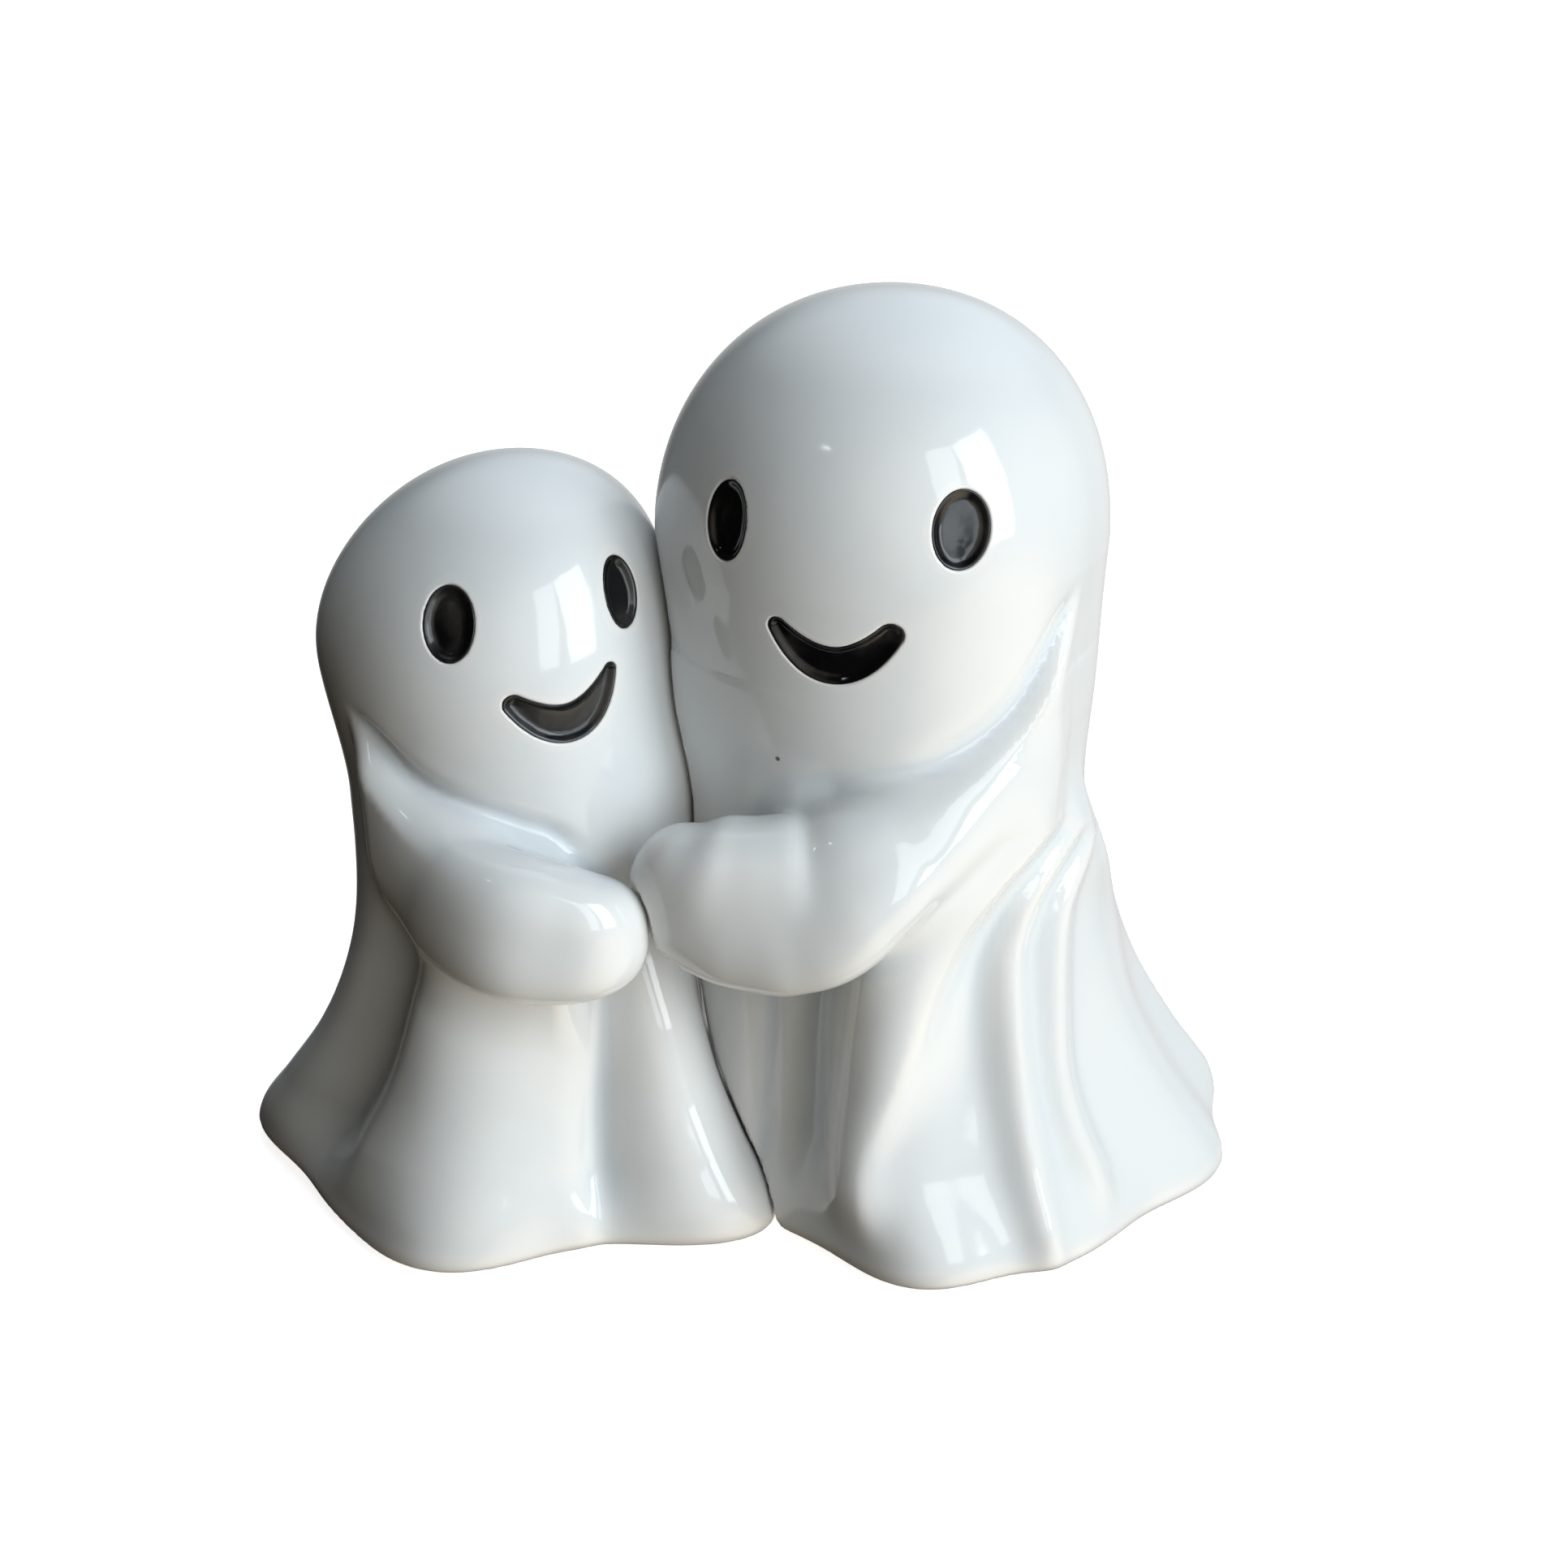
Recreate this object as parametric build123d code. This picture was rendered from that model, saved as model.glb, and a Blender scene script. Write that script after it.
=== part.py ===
from build123d import *
from collections import namedtuple
from math import cos, degrees, exp, log, radians, sin
import os

# Two hollow slip-cast ghosts, a small one on the left and a tall one on the right, hug each other.
# Each stands on its own flat base. The front faces -Y, the ground is z = 0 and all lengths are millimetres.
# Azimuths are degrees about a ghost's own axis, from +X toward +Y, so -90 faces the front.

# Ceramic body
WALL = 3.2
HEM_ROUND = 2.5
NEST_GAP = 0.35
CROWN_FLAT_RADIUS = 1.2
DOME_SQUARENESS = 2.15

# Pouring hole in the base and the soft stopper that closes it
BASE_RECESS_RADIUS = 11.5
BASE_RECESS_DEPTH = 2.0
BASE_SEAT_THICKNESS = 2.4
POUR_HOLE_RADIUS = 8.0
STOPPER_SIDE_CLEARANCE = 0.06
STOPPER_SEAT_GAP = 0.05
STOPPER_FLANGE_OVERHANG = 2.4
STOPPER_FLANGE_THICKNESS = 1.2
STOPPER_PLUG_LENGTH = 6.5
STOPPER_WALL = 1.6
STOPPER_LEAD_CHAMFER = 0.8

# Black glaze in the carved eyes and mouths
FACE_RECESS_DEPTH = 1.1
GLAZE_THICKNESS = 0.65
GLAZE_EDGE_GAP = 0.05
MOUTH_CORNER_RADIUS = 0.7

# Heads: a straight cheek up to the brow height, then a dome
SMALL_BROW_HEIGHT = 60.5
SMALL_HEAD_RADIUS = 18.8
SMALL_DOME_RISE = 20.8
TALL_BROW_HEIGHT = 74.0
TALL_HEAD_RADIUS = 23.3
TALL_DOME_RISE = 24.9

# Axis stations (height, x, y): the small ghost leans its head away, the tall one bends toward it
SMALL_AXIS = [(0, -29.0, 7.0), (25, -27.0, 6.0), (46, -27.0, 5.5), (64, -29.6, 5.5), (82, -27.0, 6.5)]
TALL_AXIS = [(0, 18.0, 6.0), (25, 13.0, 6.0), (45, 11.0, 6.0), (70, 10.0, 6.0), (100, 10.8, 6.0)]

# Sheet radius (height, radius) below the brow, before the folds
SMALL_SHEET = [(0, 21.0), (4, 20.8), (10, 19.4), (18, 18.0), (28, 17.6), (40, 18.2), (52, 18.7)]
TALL_SHEET = [(0, 23.0), (4, 22.6), (12, 20.8), (22, 19.5), (34, 19.2), (46, 20.0), (58, 22.0)]

# Skirt folds: azimuth at the hem and at the top, angular half-width, depth at the hem, top height, fade power
Fold = namedtuple("Fold", "hem_azimuth top_azimuth half_width depth top fade")
SMALL_FOLDS = [
    Fold(158, 218, 21, 10.5, 42, 1.5),
    Fold(-150, -150, 22, 2.0, 20, 1.0),
    Fold(-108, -106, 22, 6.0, 36, 1.0),
    Fold(-30, -48, 18, 11.0, 38, 1.3),
    Fold(62, 62, 16, 6.0, 36, 1.5),
    Fold(112, 112, 16, 6.5, 38, 1.5),
]
TALL_FOLDS = [
    Fold(-98, -78, 18, 5.8, 56, 0.8),
    Fold(-64, -48, 12, 2.4, 60, 0.8),
    Fold(-46, -36, 12, 1.2, 64, 0.6),
    Fold(0, -30, 20, 7.5, 56, 1.2),
    Fold(36, 20, 15, 11.0, 52, 1.3),
    Fold(82, 72, 16, 6.5, 52, 1.4),
    Fold(128, 120, 16, 6.5, 50, 1.5),
    Fold(178, 178, 30, 5.0, 64, 0.5),
]

# Drape lines: (height, azimuth) along the crest, half-widths before and after it, crest height
# (a groove is negative), and the heights where it starts and ends
Ridge = namedtuple("Ridge", "path before after height low high")
SMALL_RIDGES = [
    Ridge([(0, -70), (15, -71), (28, -69), (36, -66)], 2.4, 1.6, 0.6, -5, 40),
    Ridge([(0, -62), (15, -64), (28, -62), (36, -60)], 3.0, 2.6, -2.4, 0, 42),
    Ridge([(0, -46), (12, -49), (24, -51), (34, -53)], 4.5, 6.0, 1.8, -4, 40),
    Ridge([(0, -142), (8, -135), (28, -121), (38, -115)], 2.6, 6.0, 1.8, 2, 42),
    Ridge([(0, -166), (9, -158), (21, -147), (31, -137), (40, -128)], 4.0, 3.0, -3.4, 1, 44),
]
TALL_RIDGES = [
    Ridge([(0, -112), (13, -107), (23, -95), (32, -84), (42, -66), (48, -46)], 3.5, 1.8, 1.6, 2, 56),
    Ridge([(0, -116), (15, -112), (24, -106), (34, -98), (42, -86)], 2.2, 4.0, 1.8, 3, 48),
    Ridge([(0, -88), (13, -86), (23, -78), (32, -69), (42, -54)], 4.0, 4.0, -1.2, 2, 50),
    Ridge([(0, -67), (8, -66), (20, -63), (33, -59), (39, -52), (46, -34)], 1.8, 1.5, 1.6, -3, 54),
    Ridge([(6, -46), (17, -49), (29, -45), (37, -40), (44, -27)], 1.8, 1.6, 1.5, 2, 54),
    Ridge([(5, 27), (17, 22), (31, 7), (40, -11), (50, -24)], 5.0, 1.5, 2.0, -4, 54),
    Ridge([(0, -136), (13, -130), (23, -125), (30, -120), (40, -110)], 3.5, 3.0, -3.2, 4, 46),
    Ridge([(8, -147), (17, -143), (27, -138), (38, -132)], 1.3, 1.3, -0.9, 2, 44),
]
RIDGE_RUN_IN = 9.0
RIDGE_RUN_OUT = 16.0

# Creases that run round the body: (azimuth, height) along the crease, depth and half-width of the groove,
# and the shelf below it: how proud it stands, over what drop it comes and where it is gone
Crease = namedtuple("Crease", "path depth half_width shelf rise gone")
SMALL_CREASES = [
    Crease([(-150, 62), (-140, 59), (-132, 57), (-118, 52.5), (-98, 49.5), (-78, 47.5), (-66, 46)],
           0.7, 1.6, 1.3, 2.5, 22.0),
]
TALL_CREASES = [
    Crease([(-118, 53), (-107, 53.5), (-88, 55), (-71, 58), (-55, 62), (-42, 68), (-30, 76)],
           0.8, 2.0, 1.4, 4.0, 26.0),
]
CREASE_END_TURN = 14.3
CREASE_BROW_FADE = 8.0

# Arm stations from shoulder to hand: place on the sheet, stand-off of the centre from it, section half-sizes,
# and lean of the section's top toward the chest
Station = namedtuple("Station", "azimuth height stand_off half_height half_thickness lean")
SMALL_ARM = [
    Station(-131.0, 46.2, -4.5, 10.4, 4.4, -20),
    Station(-109.3, 42.2, 0.0, 8.9, 4.9, -10),
    Station(-88.5, 40.0, 3.0, 8.0, 5.3, 0),
    Station(-73.8, 38.9, 5.2, 7.0, 5.2, 0),
    Station(-66.8, 39.0, 6.0, 6.0, 5.0, 0),
]
TALL_ARM = [
    Station(-66.0, 53.0, -5.0, 4.5, 4.2, 20),
    Station(-84.2, 49.0, -1.6, 6.2, 5.0, 24),
    Station(-100.1, 45.4, 2.0, 8.2, 5.4, 22),
    Station(-113.0, 42.2, 5.4, 9.6, 5.8, 12),
    Station(-128.3, 42.2, 8.1, 9.2, 5.8, 0),
    Station(-138.1, 44.0, 9.9, 6.6, 4.9, 0),
]
ARM_END_REACH = 4.5
ARM_SQUARENESS = 2.5

# Faces: azimuth, rise above the brow as a share of the dome's rise, width, height and tilt of each carved oval
Oval = namedtuple("Oval", "azimuth rise width height tilt")
SMALL_LEFT_EYE = Oval(-104.3, 0.466, 5.3, 7.8, 8)
SMALL_RIGHT_EYE = Oval(-39.6, 0.519, 4.4, 7.4, -12)
TALL_LEFT_EYE = Oval(-134.8, 0.273, 5.2, 8.0, 6)
TALL_RIGHT_EYE = Oval(-71.5, 0.309, 6.0, 7.9, -11)

# Smiles, each a curved stroke: azimuth and rise of its middle, span between the centres of its round ends,
# lift of the ends, radius of the stroke at the left end, the middle and the right end, and tilt
Smile = namedtuple("Smile", "azimuth rise span lift left_radius middle_radius right_radius tilt")
SMALL_SMILE = Smile(-64.0, -0.03, 10.6, 3.5, 1.1, 2.05, 0.75, 11)
TALL_SMILE = Smile(-103.4, -0.247, 11.3, 3.4, 1.0, 2.0, 1.3, 0)
SMILE_TAPER = 2.0

# Resolution of the lofted forms
AZIMUTH_COUNT = 64
SHEET_ROW_SPACING = 3.0
ARM_SECTION_COUNT = 20
ARM_ROW_COUNT = 12
ARM_TURN_STEP = 1.0
SMILE_SIDE_COUNT = 9
SMILE_END_ANGLES = [-60, -30, 0, 30, 60]
HEM_ROW_ANGLES = [20, 45, 68, 90]
DOME_ROW_ANGLES = [14, 28, 42, 55, 67, 78]
END_ROW_ANGLES = [30, 55, 76]
NORMAL_STEP = 0.02
FACE_TOOL_REACH = 5.0
CHIN_DROP = 22.0

Ghost = namedtuple("Ghost", "axis sheet folds ridges creases arm brow head_radius dome_rise")
SMALL = Ghost(SMALL_AXIS, SMALL_SHEET, SMALL_FOLDS, SMALL_RIDGES, SMALL_CREASES, SMALL_ARM,
              SMALL_BROW_HEIGHT, SMALL_HEAD_RADIUS, SMALL_DOME_RISE)
TALL = Ghost(TALL_AXIS, TALL_SHEET, TALL_FOLDS, TALL_RIDGES, TALL_CREASES, TALL_ARM,
             TALL_BROW_HEIGHT, TALL_HEAD_RADIUS, TALL_DOME_RISE)


# Smooth curves through stations
def slope_at(stations, index):
    """Slope of the curve at a station: zero at turning points, else a mean of the slopes beside it."""
    def step(i):
        return (stations[i + 1][1] - stations[i][1]) / (stations[i + 1][0] - stations[i][0])
    if index == 0:
        return step(0)
    if index == len(stations) - 1:
        return step(index - 1)
    before, after = step(index - 1), step(index)
    return 2 * before * after / (before + after) if before * after > 0 else 0.0


def eased(stations, height):
    """Value of the smooth curve through (height, value) stations."""
    height = min(max(height, stations[0][0]), stations[-1][0])
    index = max(i for i in range(len(stations) - 1) if stations[i][0] <= height)
    low, high = stations[index], stations[index + 1]
    span = high[0] - low[0]
    t = (height - low[0]) / span
    rise = slope_at(stations, index) * span
    fall = slope_at(stations, index + 1) * span
    return (low[1] * (1 + 2 * t) * (1 - t) ** 2 + rise * t * (1 - t) ** 2
            + high[1] * t * t * (3 - 2 * t) - fall * t * t * (1 - t))


def smooth_step(low, high, value):
    share = min(max((value - low) / (high - low), 0.0), 1.0)
    return share * share * (3 - 2 * share)


# The draped form: a radius about a leaning axis
def axis_at(ghost, height):
    return (eased([(z, x) for z, x, y in ghost.axis], height),
            eased([(z, y) for z, x, y in ghost.axis], height))


def fold_depth(ghost, azimuth, height):
    """How far the folds stand out from the plain sheet."""
    depth = 0.0
    for fold in ghost.folds:
        climb = min(height / fold.top, 1.0)
        centre = fold.hem_azimuth + (fold.top_azimuth - fold.hem_azimuth) * climb
        sharpness = log(2) / (2 * sin(radians(fold.half_width) / 2) ** 2)
        bump = exp(sharpness * (cos(radians(azimuth - centre)) - 1))
        depth += fold.depth * (1 - climb) ** fold.fade * bump
    return depth


def ridge_height(ghost, azimuth, height, radius):
    """How far the drape lines stand out from the folds."""
    total = 0.0
    for ridge in ghost.ridges:
        turn = radians(azimuth - eased(ridge.path, height))
        if cos(turn) <= 0:
            continue
        offset = 2 * radius * sin(turn / 2)
        half_width = ridge.before if sin(turn) < 0 else ridge.after
        fade = smooth_step(ridge.low, ridge.low + RIDGE_RUN_IN, height)
        fade *= 1 - smooth_step(ridge.high - RIDGE_RUN_OUT, ridge.high, height)
        total += ridge.height * fade * exp(-log(2) * (offset / half_width) ** 2)
    return total


def crease_height(ghost, azimuth, height):
    """Shelf below each crease, less the groove along it."""
    total = 0.0
    for crease in ghost.creases:
        start, end = crease.path[0][0], crease.path[-1][0]
        turn = (azimuth - start) % 360
        span = end - start
        drop = eased(crease.path, start + min(turn, span)) - height
        groove = crease.depth * exp(-log(2) * (drop / crease.half_width) ** 2)
        shelf = crease.shelf * smooth_step(0, crease.rise, drop)
        shelf *= 1 - smooth_step(crease.gone / 2, crease.gone, drop)
        ends = smooth_step(0, CREASE_END_TURN, turn) * (1 - smooth_step(span - CREASE_END_TURN, span, turn))
        total += ends * (shelf - groove)
    return total * (1 - smooth_step(ghost.brow - CREASE_BROW_FADE, ghost.brow, height))


def sheet_radius(ghost, azimuth, height, inset=0.0):
    """Radius of the sheet, or of a surface that lies the inset below it."""
    if height <= ghost.brow:
        height = max(height, 0.0)
        plain = eased(ghost.sheet + [(ghost.brow, ghost.head_radius)], height)
        drape = fold_depth(ghost, azimuth, height) + ridge_height(ghost, azimuth, height, plain)
        return plain + drape + crease_height(ghost, azimuth, height) - inset
    share = min((height - ghost.brow) / (ghost.dome_rise - inset), 1.0)
    return (ghost.head_radius - inset) * (1 - share ** DOME_SQUARENESS) ** (1 / DOME_SQUARENESS)


def sheet_point(ghost, azimuth, height, inset=0.0):
    x, y = axis_at(ghost, height)
    radius = sheet_radius(ghost, azimuth, height, inset)
    return Vector(x + radius * cos(radians(azimuth)), y + radius * sin(radians(azimuth)), height)


def row_wire(ghost, height, inset):
    points = [sheet_point(ghost, 360 * i / AZIMUTH_COUNT, height, inset) for i in range(AZIMUTH_COUNT)]
    even_steps = [i / AZIMUTH_COUNT for i in range(AZIMUTH_COUNT + 1)]
    return Wire([Edge.make_spline(points, periodic=True, parameters=even_steps)])


def draped_form(ghost, inset=0.0, foot=0.0, rounded_hem=False):
    """Solid inside the sheet, from the foot height up to a small flat at the crown."""
    rows = []
    start = foot
    if rounded_hem:
        ground = cos(radians(HEM_ROW_ANGLES[0]))
        for angle in HEM_ROW_ANGLES:
            height = foot + HEM_ROUND * (ground - cos(radians(angle)))
            rows.append((height, inset + HEM_ROUND * (1 - sin(radians(angle)))))
        start = foot + HEM_ROUND * ground
    else:
        rows.append((foot, inset))
    count = round((ghost.brow - start) / SHEET_ROW_SPACING)
    for i in range(1, count + 1):
        rows.append((start + (ghost.brow - start) * i / count, inset))
    rise = ghost.dome_rise - inset
    for angle in DOME_ROW_ANGLES:
        rows.append((ghost.brow + rise * sin(radians(angle)) ** (2 / DOME_SQUARENESS), inset))
    flat_share = CROWN_FLAT_RADIUS / (ghost.head_radius - inset)
    rows.append((ghost.brow + rise * (1 - flat_share ** DOME_SQUARENESS) ** (1 / DOME_SQUARENESS), inset))
    return Part() + Solid.make_loft([row_wire(ghost, height, row_inset) for height, row_inset in rows])


def arm_section(plane, half_height, half_thickness):
    """Full oval across the arm, its seam on the flat side."""
    points = []
    for i in range(ARM_SECTION_COUNT):
        angle = radians(90 + 360 * i / ARM_SECTION_COUNT)
        fullness = (abs(cos(angle)) ** ARM_SQUARENESS + abs(sin(angle)) ** ARM_SQUARENESS) ** (-1 / ARM_SQUARENESS)
        points.append(plane.from_local_coords(
            Vector(half_height * fullness * cos(angle), half_thickness * fullness * sin(angle), 0)))
    even_steps = [i / ARM_SECTION_COUNT for i in range(ARM_SECTION_COUNT + 1)]
    return Wire([Edge.make_spline(points, periodic=True, parameters=even_steps)])


def arm_form(ghost, grow=0.0):
    """Sleeve and hand: a loft of ovals along the smooth line through the stations, rounded off at both ends."""
    centres = [sheet_point(ghost, s.azimuth, s.height, -s.stand_off) for s in ghost.arm]
    places = [0.0]
    for before, after in zip(centres, centres[1:]):
        places.append(places[-1] + (after - before).length)

    def at(values, place):
        return eased(list(zip(places, values)), place)

    def centre_at(place):
        return Vector(*[at([tuple(c)[i] for c in centres], place) for i in range(3)])

    rows = []
    for i in range(ARM_ROW_COUNT):
        place = places[-1] * i / (ARM_ROW_COUNT - 1)
        centre = centre_at(place)
        along = (centre_at(place + ARM_TURN_STEP) - centre_at(place - ARM_TURN_STEP)).normalized()
        x, y = axis_at(ghost, centre.Z)
        outward = Vector(centre.X - x, centre.Y - y, 0)
        outward = (outward - along * outward.dot(along)).normalized()
        upward = outward.cross(along)
        if upward.Z < 0:
            upward = -upward
        lean = radians(at([s.lean for s in ghost.arm], place))
        rows.append((centre, along, upward * cos(lean) - outward * sin(lean),
                     at([s.half_height for s in ghost.arm], place) + grow,
                     at([s.half_thickness for s in ghost.arm], place) + grow))

    def cap(row, direction):
        centre, along, leaning, half_height, half_thickness = row
        reach = ARM_END_REACH + grow
        return [(centre + along * (direction * reach * sin(radians(angle))), along, leaning,
                 half_height * cos(radians(angle)), half_thickness * cos(radians(angle)))
                for angle in END_ROW_ANGLES]

    rows = cap(rows[0], -1)[::-1] + rows + cap(rows[-1], 1)
    return Part() + Solid.make_loft(
        [arm_section(Plane(centre, x_dir=leaning, z_dir=along), half_height, half_thickness)
         for centre, along, leaning, half_height, half_thickness in rows])


# Carved faces
def face_plane(ghost, azimuth, rise, tilt):
    """Plane that touches the head, with its local x level before the tilt and its normal outward."""
    height = ghost.brow + rise * ghost.dome_rise
    here = sheet_point(ghost, azimuth, height)
    across = sheet_point(ghost, azimuth + degrees(NORMAL_STEP / ghost.head_radius), height) - here
    upward = sheet_point(ghost, azimuth, height + NORMAL_STEP) - here
    normal = across.cross(upward).normalized()
    level = Vector(0, 0, 1).cross(normal)
    return Plane(here, x_dir=level, z_dir=normal).rotated((0, 0, tilt))


def oval_outline(oval, gap):
    return Ellipse(oval.width / 2 - gap, oval.height / 2 - gap)


def smile_outline(smile, gap):
    """Curved stroke with round ends of their own size."""
    def stroke(share):
        end_radius = smile.left_radius if share < 0 else smile.right_radius
        radius = smile.middle_radius + (end_radius - smile.middle_radius) * abs(share) ** SMILE_TAPER - gap
        along = Vector(smile.span / 2, 2 * smile.lift * share).normalized()
        return Vector(share * smile.span / 2, smile.lift * share ** 2), along, Vector(-along.Y, along.X), radius

    def side(share, direction):
        centre, along, upward, radius = stroke(share)
        return centre + upward * (direction * radius)

    def round_end(share):
        centre, along, upward, radius = stroke(share)
        return [centre + along * (share * radius * cos(radians(angle))) + upward * (share * radius * sin(radians(angle)))
                for angle in SMILE_END_ANGLES]

    shares = [2 * i / (SMILE_SIDE_COUNT - 1) - 1 for i in range(SMILE_SIDE_COUNT)]
    points = [side(share, -1) for share in shares] + round_end(1)
    points += [side(share, 1) for share in shares[::-1]] + round_end(-1)
    return make_face(Edge.make_spline(points, periodic=True))


def face_tools(ghost, outline, feature):
    """Prism of the carved recess, and the slimmer one that trims its glaze."""
    plane = face_plane(ghost, feature.azimuth, feature.rise, feature.tilt)
    return [extrude(plane * outline(feature, gap), amount=FACE_TOOL_REACH, both=True)
            for gap in (0.0, GLAZE_EDGE_GAP)]


# Whole pieces
def stopper(ghost):
    """Soft cup with a flange, seated in the base recess from below."""
    x, y = axis_at(ghost, 0)
    plug_radius = POUR_HOLE_RADIUS - STOPPER_SIDE_CLEARANCE
    flange_radius = POUR_HOLE_RADIUS + STOPPER_FLANGE_OVERHANG
    flange_top = BASE_RECESS_DEPTH - STOPPER_SEAT_GAP
    flange = Pos(x, y, flange_top) * Cylinder(
        flange_radius, STOPPER_FLANGE_THICKNESS, align=(Align.CENTER, Align.CENTER, Align.MAX))
    plug = Cylinder(plug_radius, STOPPER_PLUG_LENGTH, align=(Align.CENTER, Align.CENTER, Align.MIN))
    plug = chamfer(plug.edges().group_by(Axis.Z)[-1], STOPPER_LEAD_CHAMFER)
    hollow_top = flange_top + STOPPER_PLUG_LENGTH - STOPPER_WALL
    hollow = Pos(x, y, hollow_top) * Cylinder(
        plug_radius - STOPPER_WALL, hollow_top, align=(Align.CENTER, Align.CENTER, Align.MAX))
    return flange + Pos(x, y, flange_top) * plug - hollow


def whole_form(ghost, grow):
    """Sheet and arm, grown all round and below the ground."""
    return draped_form(ghost, inset=-grow, foot=-grow) + arm_form(ghost, grow=grow)


def ghost_pieces(prefix, ghost, left_eye, right_eye, smile, neighbour=None):
    """Shell, glaze fills and stopper of one ghost; the shell leaves room for its neighbour."""
    shell = draped_form(ghost, rounded_hem=True) + arm_form(ghost)
    floor_top = BASE_RECESS_DEPTH + BASE_SEAT_THICKNESS
    cavity = draped_form(ghost, inset=WALL, foot=floor_top)
    if neighbour is not None:
        shell = shell - whole_form(neighbour, NEST_GAP)
        cavity = cavity - whole_form(neighbour, NEST_GAP + WALL)
    shell = shell - cavity
    x, y = axis_at(ghost, 0)
    shell = shell - Pos(x, y, 0) * Cylinder(POUR_HOLE_RADIUS, 2 * (floor_top + WALL))
    shell = shell - Pos(x, y, 0) * Cylinder(BASE_RECESS_RADIUS, 2 * BASE_RECESS_DEPTH)

    chin = ghost.brow - CHIN_DROP
    recess_floor = draped_form(ghost, inset=FACE_RECESS_DEPTH, foot=chin)
    glaze_floor = draped_form(ghost, inset=FACE_RECESS_DEPTH - GLAZE_EDGE_GAP, foot=chin)
    glaze_top = draped_form(ghost, inset=FACE_RECESS_DEPTH - GLAZE_THICKNESS, foot=chin)
    pieces = {}
    features = (("left_eye", oval_outline, left_eye), ("right_eye", oval_outline, right_eye),
                ("mouth", smile_outline, smile))
    for name, outline, feature in features:
        carving, trimming = face_tools(ghost, outline, feature)
        shell = shell - (carving - recess_floor)
        pieces[f"{prefix}_{name}"] = (trimming - glaze_floor) & glaze_top
    pieces[f"{prefix}_ghost"] = shell
    pieces[f"{prefix}_stopper"] = stopper(ghost)
    return pieces


pieces = ghost_pieces("small", SMALL, SMALL_LEFT_EYE, SMALL_RIGHT_EYE, SMALL_SMILE)
pieces.update(ghost_pieces("tall", TALL, TALL_LEFT_EYE, TALL_RIGHT_EYE, TALL_SMILE, neighbour=SMALL))

# The origin is the middle of the pair's footprint box, on the ground
box = (pieces["small_ghost"] + pieces["tall_ghost"]).bounding_box()
to_origin = Pos(-box.center().X, -box.center().Y, 0)

os.makedirs("parts", exist_ok=True)
for name, piece in pieces.items():
    export_step(to_origin * piece, f"parts/{name}.step")
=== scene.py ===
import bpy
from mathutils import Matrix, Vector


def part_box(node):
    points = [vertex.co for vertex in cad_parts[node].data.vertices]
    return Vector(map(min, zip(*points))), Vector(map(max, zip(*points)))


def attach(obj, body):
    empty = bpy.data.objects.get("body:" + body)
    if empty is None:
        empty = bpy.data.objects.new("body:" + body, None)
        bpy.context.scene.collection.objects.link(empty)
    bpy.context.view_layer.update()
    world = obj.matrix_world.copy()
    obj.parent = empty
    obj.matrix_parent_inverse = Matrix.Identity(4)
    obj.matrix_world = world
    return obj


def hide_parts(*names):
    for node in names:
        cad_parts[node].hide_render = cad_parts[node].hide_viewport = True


bl_info = {
    "name": "Hugging Ghost Pair",
    "version": (1, 0, 0),
    "blender": (4, 5, 0),
    "location": "View3D > Sidebar > Ghosts",
    "description": "Glazed ceramic ghosts with black faces and base stoppers, dressed over the packed frame",
    "category": "Object",
}

from collections import namedtuple
from math import cos, log, pi, radians, sin, tan

import bmesh
import bpy
import numpy as np
from bpy.props import FloatProperty, FloatVectorProperty, PointerProperty
from mathutils import Vector

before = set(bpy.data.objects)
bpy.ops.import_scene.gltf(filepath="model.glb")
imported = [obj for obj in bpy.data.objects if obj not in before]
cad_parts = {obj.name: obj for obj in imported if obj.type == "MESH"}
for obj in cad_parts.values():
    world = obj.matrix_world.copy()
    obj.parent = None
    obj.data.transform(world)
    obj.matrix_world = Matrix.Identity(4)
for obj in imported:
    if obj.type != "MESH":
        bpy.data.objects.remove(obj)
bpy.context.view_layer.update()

# Forms are worked out in millimetres, as on a maker's drawing, and become metres when a mesh is made.
# Azimuths are degrees about a ghost's own axis, from +X toward +Y, so -90 faces the front.
MM = 0.001

# Axis stations (height, x, y) and sheet radius (height, radius) below the brow
SMALL_AXIS = [(0, -29.0, 7.0), (25, -27.0, 6.0), (46, -27.0, 5.5), (64, -29.6, 5.5), (82, -27.0, 6.5)]
TALL_AXIS = [(0, 18.0, 6.0), (25, 13.0, 6.0), (45, 11.0, 6.0), (70, 10.0, 6.0), (100, 10.8, 6.0)]
SMALL_SHEET = [(0, 21.0), (4, 20.8), (10, 19.4), (18, 18.0), (28, 17.6), (40, 18.2), (52, 18.7)]
TALL_SHEET = [(0, 23.0), (4, 22.6), (12, 20.8), (22, 19.5), (34, 19.2), (46, 20.0), (58, 22.0)]
DOME_SQUARENESS = 2.15
HEM_ROUND = 2.5

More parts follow.
